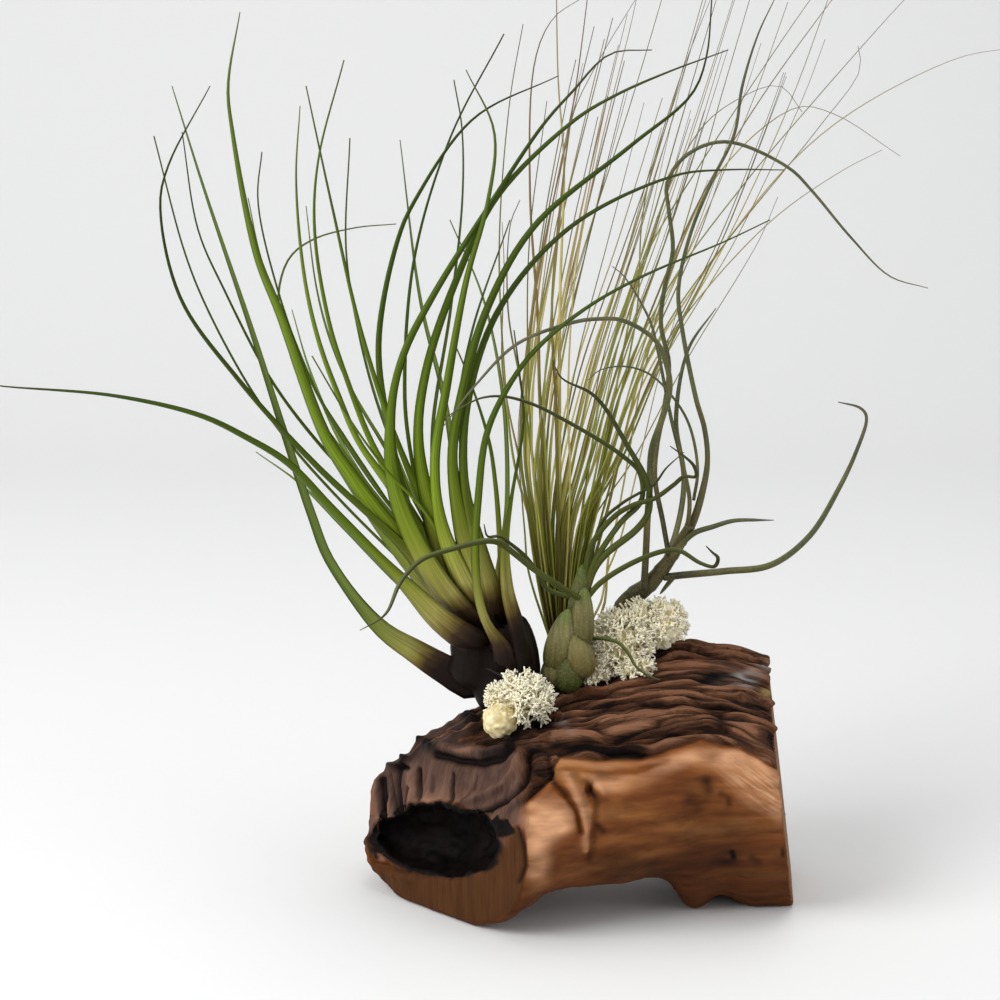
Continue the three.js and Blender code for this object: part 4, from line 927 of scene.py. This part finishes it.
# Lean in depth, then the run on the board.
GRASS_LEAVES = [
    (60, [(45, -30), (56, 10), (70, 55), (91, 90), (135, 139), (170, 164), (191, 175)]),
    (84, [(45, -20), (56, 25), (72, 65), (91, 97), (141, 164), (176, 194), (229, 221),
     (256, 226)]),
    (42, [(50, 0), (65, 50), (85, 90), (110, 125), (160, 187), (180, 215), (179, 227)]),
    (25, [(47, 10), (57, 50), (84, 106), (122, 158), (154, 196), (202, 250), (217, 265)]),
    (100, [(45, -20), (55, 35), (70, 80), (100, 150), (130, 200), (166, 250), (180, 267)]),
    (55, [(45, 20), (52, 60), (72, 120), (99, 166), (155, 250), (172, 272)]),
    (15, [(22, 50), (25, 85), (31, 150), (36, 191), (49, 219), (75, 262)]),
    (34, [(28, 50), (26, 95), (32, 164), (40, 221), (46, 270)]),
    (120, [(20, 50), (19, 90), (15, 154), (17, 217), (26, 240), (41, 251)]),
    (130, [(30, 100), (32, 165), (29, 212), (28, 275)]),
    (30, [(22, -56), (17, -30), (14, -8), (10, 18), (5, 41), (1, 66), (2, 117), (1, 139)]),
    (70, [(23, -50), (20, -20), (17, 15), (10, 60), (4, 95), (5, 137), (10, 150)]),
    (-10, [(21, -58), (17, -46), (13.7, -33), (12.4, -17), (11, 0), (9, 30), (11, 60)]),
    (6, [(50, -52), (53, -38), (60, -20), (66, 4), (72, 30), (79, 60), (90, 100)]),
    (16, [(51, -56), (54, -30), (58, -12), (64, 20), (70, 55), (84, 110), (104, 160)]),
    (12, [(35, 10), (34, 50), (38, 115), (51, 180), (66, 240), (71, 265)]),
    (38, [(42, -30), (50, 10), (68, 90), (72, 147), (88, 205), (107, 255)]),
    (92, [(45, -10), (55, 40), (75, 130), (100, 185), (122, 202), (140, 207), (151, 194)]),
    (140, [(50, -20), (75, 80), (105, 157), (145, 195), (167, 193), (200, 172)]),
]
# Where the fan's left and right sides are, at heights on the board.
GRASS_FAN = np.array([(-62, 24, 35), (-13, 14, 43), (20, 6, 60), (70, 5, 80), (130, 10, 108),
                      (200, 22, 134), (265, 36, 156)])
# Count, seed, lowest and highest tip, lean in depth from and to, width, crossing.
GRASS_FANS = [
    (22, 7, 150, 262, -5, 150, 2.3, 0.15),
    (30, 19, 120, 275, 0, 150, 1.5, 0.4),
]
GRASS_WIDE = 2.4                          # width of the leaves in the first table
GRASS_TONE_SEED = 5
GRASS_STEPS = 44
RUSH_RING = np.array([(-1, 0.3), (-0.55, -0.25), (0, -0.6), (0.55, -0.25), (1, 0.3), (0, 0.05)])


def grass_fan(count, seed, lowest, highest, near, far, wide, crossing):
    """More leaves of the fan, each on its own slow way from its base to its tip."""
    draw = np.random.default_rng(seed)
    for i in range(count):
        spread = (i + draw.random()) / count
        top = spread + crossing * (draw.random() - 0.5) * 2
        tip = lowest + (highest - lowest) * draw.random()
        run = []
        for up in [*GRASS_FAN[GRASS_FAN[:, 0] < tip - 12, 0], tip]:
            left, right = (np.interp(up, GRASS_FAN[:, 0], GRASS_FAN[:, k]) for k in (1, 2))
            share = eased(-0.3, 1.0, (up - GRASS_ROOT[1]) / (tip - GRASS_ROOT[1]))
            run.append((left + (right - left) * (spread + (top - spread) * share), up))
        yield near + (far - near) * draw.random(), run, wide


def rush_leaf(lean, run, wide, tone):
    """A thin half-round leaf."""
    def section(share):
        half = 0.22 + wide / 2 * (1 - share) ** 1.2
        return half[:, None, None] * RUSH_RING[None]

    skin, faces, share, along = swept(leaf_points(GRASS_ROOT, run, lean), section, GRASS_STEPS)
    return skin, faces, leaf_marks(share, along, tone, RUSH_RING[:, 0])


def rush_surface(tree):
    """Dry rush skin: olive and straw, browner towards the tip, with fine long lines."""
    vein = noise(tree, mark(tree, "lines", "Vector"), (22, 3, 1), 4.0)
    share, tone = mark(tree, "share"), mark(tree, "tone")
    green = ramp(tree, share, (0.0, "#34240f"), (0.06, "#5e5624"), (0.12, "#8c9038"),
                 (0.25, "#9fa648"), (0.45, "#9aa04c"), (0.7, "#7c7c48"), (1.0, "#585046"))
    straw = ramp(tree, share, (0.0, "#38240f"), (0.06, "#6c5428"), (0.12, "#b8ac5c"),
                 (0.25, "#d4ca70"), (0.45, "#d4c478"), (0.7, "#a89864"), (1.0, "#6e5c48"))
    brown = ramp(tree, share, (0.0, "#20140c"), (0.12, "#5c5422"), (0.3, "#7c7838"),
                 (0.5, "#8a7440"), (1.0, "#5e4c42"))
    colour = blend(tree, ranged(tree, tone, -0.1, 0.5), green, straw)
    colour = blend(tree, ranged(tree, tone, -0.5, -0.8), colour, brown)
    return {"Base Color": veined(tree, colour, vein, 0.72, 1.15),
            "Normal": raised(tree, vein, 0.3, 0.0002)}


def grassy_tuft():
    """The sheath, the leaves that stand out, and the rest of the fan, each with its own tone."""
    draw = np.random.default_rng(GRASS_TONE_SEED)
    rows = [(lean, run, GRASS_WIDE) for lean, run in GRASS_LEAVES]
    rows += [row for fan in GRASS_FANS for row in grass_fan(*fan)]
    leaves = [rush_leaf(*row, 2 * draw.random() - 1) for row in rows]
    points, faces = ball(*GRASS_SHEATH)
    return gathered([(points, faces, plain_marks(len(points)))] + leaves)


rush_skin = finish("dry rush leaf", rush_surface, Roughness=0.5, Specular_IOR_Level=0.15)
grassy = mesh_piece("grassy_tuft", *grassy_tuft(), rush_skin)
stands_for(grassy, "grass_leaf", "grassy_plant")

# =============================================================================================
# Bulb plant
# A small air plant: fat grey-green sheaths that overlap to a bulb, mealy with fine scales, and
# eight dark green leaves like tentacles that twist out over its neighbours. Grown, glued on.
# =============================================================================================
BULB_ROOT = (42, -50, 21)
# Thickness, lean in depth, start in depth, then the run on the board.
BULB_LEAVES = [
    (4.4, -66, -2, [(26, -40), (17, -34), (7, -26), (0, -21), (-7, -20), (-24, -24), (-40, -30),
     (-50, -41), (-56, -55), (-61, -60), (-70, -65)]),
    (3.2, -36, 21, [(24, -44), (19, -36), (13, -28), (6, -22), (0, -18), (-6, -18), (-8, -12)]),
    (3.9, -40, 21, [(50, -41), (66, -31), (82, -25), (90, -25), (100, -31), (107, -33),
     (109, -29), (106, -26), (103, -23)]),
    (3.4, -48, 21, [(45, -24), (57, -8), (67, -2), (77, 1), (87, 8), (92, 12), (98, 12), (97, 17),
     (92, 22), (85, 27)]),
    (3.7, -30, 21, [(47, -35), (53, -27), (68, -15), (74, -7), (75, 2), (73, 11), (64, 27),
     (52, 47), (45, 54), (31, 61), (26, 70)]),
    (2.4, -22, 21, [(50, -12), (60, -2), (70, 4), (77, 8), (83, 16), (92, 24)]),
    (3.3, -46, 21, [(46, -34), (60, -12), (71, 0), (70, 14), (62, 22), (52, 29), (33, 40),
     (17, 48), (2, 52), (-10, 51), (-23, 44), (-28, 41)]),
    (2.4, -22, 21, [(46, -68), (52, -69), (59, -71), (64, -76), (68, -83), (75, -88), (80, -90)]),
]
# Place on the board, radii, lean, taper upwards, tone from -1 green to 1 brown.
BULB_SHEATHS = [
    ((35, -77, 22), (13.6, 11, 20), 0.04, 0.3, 0.2),
    ((31, -71.5, 17), (10.5, 8, 18.5), 0.2, 0.4, 0.1),
    ((41, -60, 17.5), (7.6, 7, 18), 0.05, 0.35, 0.1),
    ((27.5, -86, 17.5), (7.8, 6.6, 9.5), 0.2, 0.1, 0.0),
    ((33.5, -84, 14), (9.8, 5.8, 13.5), -0.1, 0.6, -0.6),
    ((39.5, -77.5, 15), (9, 7.2, 13), -0.3, 0.3, 0.7),
    ((39.5, -50, 20), (6.8, 6.0, 19), 0.1, 0.45, -0.6),
]
TENTACLE_STEPS = 72
TENTACLE_TAPER = [(0, 1), (0.5, 0.85), (0.8, 0.5), (0.92, 0.2), (1, 0)]
ROUND_RING = np.array([(math.cos(a), math.sin(a) * (1 if math.sin(a) < 0 else 0.45))
                       for a in np.linspace(0, 2 * math.pi, 12, endpoint=False)])


def tentacle(points, thick, tone, steps=TENTACLE_STEPS, taper=TENTACLE_TAPER):
    """A round leaf with a shallow channel along its upper side."""
    def section(share):
        half = 0.26 + thick / 2.15 * np.interp(share, *zip(*taper))
        return half[:, None, None] * ROUND_RING[None]

    skin, faces, share, along = swept(points, section, steps)
    return skin, faces, leaf_marks(share, along, tone, ROUND_RING[:, 1])


def bulb_sheath(number):
    """One sheath of the bulb, with a mark of painted shade where it dips under another."""
    place, radii, lean, taper, tone = BULB_SHEATHS[number]
    points, faces = ball(place, radii, lean, taper, 48, 36)
    marks = plain_marks(len(points), tone)
    seam = np.zeros(len(points))
    for other, (centre, size, turn, narrow, _) in enumerate(BULB_SHEATHS):
        if other != number:
            off = points - on_sight(*centre)
            spun = np.column_stack([
                off[:, 0] * math.cos(turn) - off[:, 2] * math.sin(turn), off[:, 1],
                off[:, 0] * math.sin(turn) + off[:, 2] * math.cos(turn)]) / size
            spun[:, :2] /= (1 - narrow * (np.clip(spun[:, 2:], -1, 1) + 1) / 2)
            seam = np.maximum(seam, 1 - np.abs(np.linalg.norm(spun, axis=1) - 1) / 0.13)
    low, high = points[:, 2].min(), points[:, 2].max()
    marks["share"] = (points[:, 2] - low) / (high - low)
    marks["seam"] = np.clip(seam, 0, 1)
    marks["lines"] = np.column_stack([
        points[:, 2], 12 * np.arctan2(points[:, 0] - on_sight(*place)[0], 30 - points[:, 1]),
        points[:, 1]])
    return points, faces, marks


def speckle(tree, scale, detail=3.0):
    """Noise in the piece's own space, with scale cells to the metre."""
    place = add(tree, "TexCoord").outputs["Object"]
    return add(tree, "TexNoise", Vector=place, Scale=scale, Detail=detail).outputs[0]


def bulb_surface(tree):
    """Mealy leaf skin: grey-green sheaths with painted shade in their seams, dark green leaves."""
    vein = noise(tree, mark(tree, "lines", "Vector"), (12, 0.9, 9), 4.0)
    share, tone = mark(tree, "share"), mark(tree, "tone")
    leaf = ramp(tree, share, (0.0, "#66642c"), (0.1, "#4c521c"), (0.5, "#404718"),
                (0.85, "#3a3a1c"), (1.0, "#4a4430"))
    sheath = ramp(tree, share, (0.0, "#34360f"), (0.3, "#5a562a"), (0.7, "#7c764a"),
                  (1.0, "#5c7030"))
    brown = reckon(tree, "MAXIMUM", tone, 0.0)
    green = reckon(tree, "MAXIMUM", times(tree, tone, -1.0), 0.0)
    sheath = blend(tree, times(tree, brown, 0.7), sheath, "#80703f")
    sheath = blend(tree, times(tree, green, 0.9), sheath, "#3c4c14")
    on_bulb = reckon(tree, "LESS_THAN", mark(tree, "reach"), 0.001)
    colour = blend(tree, on_bulb, leaf, sheath)
    # painted shade where one sheath dips under another
    seam = reckon(tree, "POWER", mark(tree, "seam"), 1.3)
    colour = blend(tree, times(tree, seam, 0.6), colour, "#3a3014")
    # the leaves are paler along their flattened upper side
    paler_upper_side = ranged(tree, mark(tree, "inner"), 0.1, 0.45, 0.0, 0.4)
    colour = blend(tree, paler_upper_side, colour, "#7c8650")
    dust = ranged(tree, speckle(tree, 900.0, 2.0), 0.5, 0.72, 0.0, 0.3)
    colour = blend(tree, times(tree, dust, on_bulb), colour, "#9c9a78")
    return {"Base Color": veined(tree, colour, vein, 0.75, 1.2),
            "Normal": raised(tree, vein, 0.5, 0.0003)}


def bulb_plant():
    """The overlapping sheaths, and the leaves, which have no seams to shade."""
    leaves = [
        tentacle(leaf_points(BULB_ROOT, run, lean, start), thick, 0.0)
        for thick, lean, start, run in BULB_LEAVES]
    for _, _, marks in leaves:
        marks["seam"] = np.zeros(len(marks["share"]))
    return gathered([bulb_sheath(i) for i in range(len(BULB_SHEATHS))] + leaves)


bulb_skin = finish("mealy bulb leaf", bulb_surface, Roughness=0.5, Specular_IOR_Level=0.2)
bulb = mesh_piece("bulb_and_tentacles", *bulb_plant(), bulb_skin)
stands_for(bulb, "bulb_leaf", "bulb_plant")

# =============================================================================================
# Curly plant
# An air plant with a thick leaning stem wrapped in sheaths, and long thick leaves that wave and
# curl. Its skin is olive-brown and freckled with silver scales. Grown, and glued on.
# =============================================================================================
CURLY_ROOT = (57, -80, 57)
CURLY_STEM = [(57, -66, 56), (64, -51, 52), (74.6, -42, 46), (86, -28, 39), (95, -13, 34)]
# The stem's radius in mm at shares of its run, and the share of a leaf's thickness that is
# left at shares of its run.
STEM_TAPER = [(0, 6.4), (0.45, 4.9), (0.8, 3.1), (1, 2.6)]
QUICK = [(0, 1), (0.05, 0.95), (0.12, 0.75), (0.2, 0.48), (0.45, 0.36), (0.85, 0.22), (1, 0)]
SLOW = [(0, 1), (0.3, 0.86), (0.6, 0.66), (0.85, 0.4), (1, 0)]
# Thickness, how it tapers, start in depth, lean in depth, then the run on the board.
CURLY_LEAVES = [
    (6, QUICK, 40, -40, [(84, -30), (95, -13), (101, 5), (103.5, 20), (102, 36), (98, 50),
     (91, 85), (89, 105), (95, 133), (106, 160), (117, 183), (121, 207), (129, 233), (138, 252)]),
    (3.5, SLOW, 38, -26, [(84, -28), (81, -11), (77, 11), (78, 27), (82, 48), (84, 68), (80, 88),
     (82, 107), (86, 125), (84, 145), (83, 158), (90, 170), (103, 178), (117, 179), (145, 166),
     (156, 155), (176, 131), (195, 112), (214, 106)]),
    (4, SLOW, 42, -84, [(72, -45), (73, -30), (74, -8), (75, 5), (76, 25), (81, 40), (85, 55),
     (84, 66), (78, 80), (62, 90), (50, 91), (36, 89), (8, 78), (-12, 58), (-29, 36)]),
    (2.6, SLOW, 36, -22, [(91, -22), (94, -12), (95, 0), (93, 12), (86, 40), (79, 75), (75, 90),
     (62, 112), (56, 117)]),
    (1.7, SLOW, 30, -30, [(97, 0), (99, 15), (95, 37), (87, 51), (75, 63), (62, 67), (50, 65),
     (44, 60)]),
    (4.6, SLOW, 38, -24, [(84, -30), (90, -22), (97, -16), (106, -13), (117, -10), (137, -10)]),
    (5.2, SLOW, 42, -40, [(82, -38), (90, -37), (112, -35), (135, -32), (154, -18), (169, 6),
     (178, 25), (183, 41), (180, 46), (169, 49)]),
    (3, SLOW, 46, -8, [(87, -38), (83, -43), (80, -47)]),
    (3.2, SLOW, 50, 62, [(80, -36), (88, -16), (92, 10), (88, 40), (94, 75), (108, 96)]),
]
CURLY_LEAN = 1.2
CURLY_STEPS = 96
STEM_RING = np.array([(math.cos(a), math.sin(a))
                      for a in np.linspace(0, 2 * math.pi, 20, endpoint=False)])


def curly_stem():
    """The stem, with a low step where each wrapped sheath ends."""
    def section(share):
        wrap = 0.4 * (1 - ((share * 9) % 1)) ** 2
        half = np.interp(share, *zip(*STEM_TAPER)) + wrap
        return half[:, None, None] * STEM_RING[None]

    points = [on_sight(*CURLY_ROOT)] + [on_sight(*place) for place in CURLY_STEM]
    skin, faces, share, along = swept(points, section, 72)
    marks = leaf_marks(share * 0.1, along, -0.2, STEM_RING[:, 1])
    return skin, faces, marks


def curly_leaf(thick, taper, start, lean, run, tone):
    """A long leaf that leaves the stem at a depth of its own and leans from there."""
    points = [on_sight(a, u, start + lean * (i / (len(run) - 1)) ** CURLY_LEAN)
              for i, (a, u) in enumerate(run)]
    return tentacle(points, thick, tone, CURLY_STEPS, taper)


def curly_surface(tree):
    """Olive-brown leaf skin with silver freckles of fine scales."""
    place = add(tree, "TexCoord").outputs["Object"]
    freckle = add(tree, "TexVoronoi", Vector=place, Scale=1500.0).outputs["Distance"]
    spot = ranged(tree, freckle, 0.22, 0.45, 0.45, 0.0)
    vein = noise(tree, mark(tree, "lines", "Vector"), (18, 1.8, 1), 4.0)
    skin = ramp(tree, mark(tree, "share"), (0.0, "#2c2812"), (0.05, "#363414"), (0.09, "#524a24"),
                (0.14, "#6c6436"), (0.22, "#545628"), (0.35, "#54592c"), (0.7, "#4a5030"),
                (1.0, "#56544a"))
    warm = ramp(tree, speckle(tree, 70.0), (0.4, "#36402a"), (0.62, "#7c6c3c"))
    colour = blend(tree, spot, blend(tree, 0.25, skin, warm), "#8c8a70")
    return {"Base Color": veined(tree, colour, vein, 0.7, 1.2),
            "Normal": raised(tree, spot, 0.3, 0.0002)}


curly_skin = finish("silver-freckled leaf", curly_surface, Roughness=0.5, Specular_IOR_Level=0.3)
curly = mesh_piece("curly_stem_and_leaves", *gathered([curly_stem()] + [
    curly_leaf(*leaf, 0.4 * math.sin(3.1 * i)) for i, leaf in enumerate(CURLY_LEAVES)]), curly_skin)
stands_for(curly, "curly_leaf", "curly_plant")

# =============================================================================================
# Glue
# Clear hot glue that holds each plant in a dip of the wood. It squeezed out in a low uneven
# rim round the foot and set.
# =============================================================================================
GLUE_HIGH = 2.4                           # the cushion's height
GLUE_SIDES, GLUE_BANDS = 40, 9


def glue_rim(name, x, y, height, radius):
    """A low uneven cushion of set glue round a plant's foot."""
    turn = 2 * np.pi * np.arange(GLUE_SIDES) / GLUE_SIDES
    rim = 1 + 0.09 * np.sin(3 * turn + x) + 0.06 * np.sin(7 * turn + y)
    points = [[x, y, height + GLUE_HIGH]]
    for b in range(1, GLUE_BANDS):
        share = b / (GLUE_BANDS - 1)
        rise = GLUE_HIGH * math.sqrt(max(0.0, 1 - share ** 3))
        points += [[x + radius * share * r * math.cos(t), y + radius * share * r * math.sin(t),
                    height + rise] for r, t in zip(rim, turn)]
    points.append([x, y, height])
    faces = lump_faces(GLUE_SIDES, GLUE_BANDS)
    return mesh_piece(name, np.array(points, float), faces, {}, set_glue)


def glue_surface(tree):
    """Clear glue over dark wood: a dull amber gloss with a few trapped bubbles."""
    cloud = speckle(tree, 220.0)
    colour = ramp(tree, cloud, (0.35, "#4a3626"), (0.6, "#7a664c"), (0.75, "#a89a80"))
    return {"Base Color": colour, "Normal": raised(tree, cloud, 0.3, 0.0003)}


set_glue = finish("set hot glue", glue_surface, Roughness=0.22, Coat_Weight=0.4)
for plant, (x, y, height, radius) in SEATS.items():
    rim = glue_rim("glue_rim_" + plant, x, y, height + 0.6, radius - 1.2)
    stands_for(rim, "glue", "glue_" + plant)

# =============================================================================================
# Reindeer moss
# Two tufts of dried cream reindeer moss, a lichen of fine hollow branches that fork again and
# again into small stars. Pressed on in front of the rosette and behind the bulb, and glued.
# =============================================================================================
TUFTS = {                                 # seed, lumps: place, radii, stems, matted share
    "moss_front": (11, [((10, -101.5, -5), (16.5, 13, 15.5), 130, 0.5),
                        ((0, -110.5, -14), (9.2, 8, 9.5), 0, 0.95)]),
    "moss_right": (12, [((59, -72, 33), (18, 12, 17), 170, 0.6),
                        ((69, -60, 37), (11, 9, 12), 70, 0.6),
                        ((81.5, -62.5, 40), (12.5, 11, 14.5), 120, 0.78),
                        ((50.5, -80, 26), (6, 6, 8), 40, 0.7),
                        ((47, -88, 22), (8, 7, 6), 40, 0.6), ((66, -84, 26), (13, 8, 7), 70, 0.6)]),
}
FORKS = 3                                 # times that a stem forks
STEM_RADIUS, TWIG_RADIUS = 0.8, 0.52
TWIG_SIDES = 4
MATTED = 0.9                              # from this matted share on, a lump is smoother and tanner
CORE_SIDES, CORE_BANDS = 72, 54


def moss_tuft(name):
    """A tuft's branches: each stem runs from a lump's middle and forks towards its outline."""
    seed, lumps = TUFTS[name]
    draw = np.random.default_rng(seed)
    starts, ends, thick, level, matted = [], [], [], [], []
    for place, radii, stems, share in lumps:
        middle, radii = on_sight(*place), np.array(radii, float)
        core, faces = ball(place, radii * share, 0.0, 0.0, CORE_SIDES, CORE_BANDS)
        bumps = layered(core, 2.0, 6, 2)
        bumpy, pale = (0.3, 0.55) if share < MATTED else (0.13, 0.22)
        core += (core - middle) * bumpy * bumps[:, None]
        # the cores sit lower on the colour ramp than the twigs and darker in their dips: partly
        # tanner lichen, partly painted shade for the gaps between branches
        matted.append((core, faces, {"level": pale + 0.45 * bumps}))
        ways = draw.normal(size=(stems, 3))
        ways[:, 2] = np.abs(ways[:, 2]) - 0.35
        ways = unit(ways)
        at = middle + ways * radii * (share - 0.1 + 0.15 * draw.random((stems, 1)))
        ways = unit(ways + 0.6 * draw.normal(size=(stems, 3)))
        for fork in range(FORKS + 1):
            reach = radii.mean() * (1.05 - share) * (0.5 - 0.08 * fork)
            tip = at + ways * reach * (0.7 + 0.6 * draw.random((len(at), 1)))
            grown = (fork + 0.5) / (FORKS + 1)
            starts.append(at)
            ends.append(tip)
            thick.append(np.full(len(at), STEM_RADIUS + (TWIG_RADIUS - STEM_RADIUS) * grown))
            level.append(np.full(len(at), 0.3 + 0.7 * grown))
            stray = draw.normal(size=(len(at), 3)) * 0.7
            at = np.vstack([tip, tip])
            ways = np.vstack([ways + stray, ways - stray])
            off = (at - middle) / radii
            ways = unit(ways + 0.15 * off / np.linalg.norm(off, axis=1)[:, None])
            inside = np.linalg.norm(off, axis=1) < 1.08
            at, ways = at[inside], ways[inside]
    lace = twigs(*(np.concatenate(v) for v in (starts, ends, thick, level)))
    return gathered([lace] + matted)


def twigs(starts, ends, thick, level):
    """Tapering twigs with a few sides, from starts to ends, as points, faces and marks."""
    along = unit(ends - starts)
    side = unit(np.cross(along, [0.31, 0.53, 0.79]))
    other = np.cross(along, side)
    rings = []
    for place, size in ((starts - 0.25 * along, 1.0), (ends + 0.25 * along, 0.72)):
        for i in range(TWIG_SIDES):
            turn = 2 * math.pi * i / TWIG_SIDES
            out = side * math.cos(turn) + other * math.sin(turn)
            rings.append(place + out * (thick * size)[:, None])
    points = np.stack(rings, 1).reshape(-1, 3)
    corner = np.arange(TWIG_SIDES)
    after = (corner + 1) % TWIG_SIDES
    walls = np.column_stack([corner, after, after + TWIG_SIDES, corner + TWIG_SIDES])
    caps = np.array([corner[::-1], corner + TWIG_SIDES])
    first = 2 * TWIG_SIDES * np.arange(len(starts))[:, None, None]
    faces = (walls + first).reshape(-1, 4).tolist()
    faces += (caps + first).reshape(-1, TWIG_SIDES).tolist()
    return points, faces, {"level": np.repeat(level, 2 * TWIG_SIDES)}


def moss_surface(tree):
    """Dry lichen: matt cream, tanner deep inside the tuft; its cores are darker, partly tanner
    lichen and partly painted shade for the gaps between branches.
    """
    colour = ramp(tree, mark(tree, "level"), (0.05, "#cdb982"), (0.35, "#f0e3b6"),
                  (0.6, "#fff6d6"), (1.0, "#fffbe8"))
    shade = ramp(tree, speckle(tree, 140.0, 2.0), (0.3, 0.9), (0.7, 1.04))
    return {"Base Color": blend(tree, 1.0, colour, shade, "MULTIPLY")}


lichen = finish("dried reindeer moss", moss_surface, Roughness=1.0, Specular_IOR_Level=0.2)
for tuft in TUFTS:
    stands_for(mesh_piece(tuft + "_lace", *moss_tuft(tuft), lichen), "moss", tuft)

# =============================================================================================
# Studio
# A pale floor that curves up into the wall, a wide soft window light from the left, weaker
# ones from the right and from above, and an even pale sky. All of it is in metres.
# =============================================================================================
FLOOR_HALF, FLOOR_FRONT = 5.0, -3.5
WALL_AT, WALL_HIGH, SWEEP = 1.1, 3.5, 0.7
SWEEP_STEPS = 16
sweep_steps = [math.pi / 2 * i / SWEEP_STEPS for i in range(SWEEP_STEPS + 1)]
profile = [(FLOOR_FRONT, 0.0)] + [
    (WALL_AT + SWEEP * math.sin(a), SWEEP - SWEEP * math.cos(a)) for a in sweep_steps
] + [(WALL_AT + SWEEP, WALL_HIGH)]
backdrop_mesh = bpy.data.meshes.new("backdrop")
backdrop_mesh.from_pydata(
    [(side, y, z) for y, z in profile for side in (-FLOOR_HALF, FLOOR_HALF)], [],
    [(2 * i, 2 * i + 1, 2 * i + 3, 2 * i + 2) for i in range(len(profile) - 1)])
backdrop_mesh.polygons.foreach_set("use_smooth", [True] * len(backdrop_mesh.polygons))
backdrop_mesh.materials.append(
    finish("pale paper", lambda tree: {}, Base_Color=linear("#e6e6e5"), Roughness=0.85))
backdrop = bpy.data.objects.new("backdrop", backdrop_mesh)
bpy.context.scene.collection.objects.link(backdrop)

# Name, place, size and power of each lamp, and the point that all of them aim at.
LAMPS = [
    ("window", (-1.5, -1.0, 1.5), 1.3, 42.0),
    ("reflector", (1.7, -0.9, 0.9), 1.4, 9.0),
    ("ceiling", (0.2, 0.2, 2.3), 1.6, 16.0),
]
AIM = np.array([0.0, 0.0, 0.2])
for name, place, size, power in LAMPS:
    lamp = bpy.data.objects.new(name, bpy.data.lights.new(name, "AREA"))
    lamp.data.size = size
    lamp.data.energy = power
    lamp.location = place
    way = AIM - place
    lamp.rotation_euler = (math.atan2(math.hypot(way[0], way[1]), -way[2]), 0.0,
                           math.atan2(way[1], way[0]) - math.pi / 2)
    bpy.context.scene.collection.objects.link(lamp)

sky = bpy.data.worlds.new("sky")
sky.use_nodes = True
sky.node_tree.nodes["Background"].inputs["Color"].default_value = linear("#f2f4f7")
sky.node_tree.nodes["Background"].inputs["Strength"].default_value = 0.45
bpy.context.scene.world = sky
bpy.context.scene.view_settings.view_transform = "Standard"
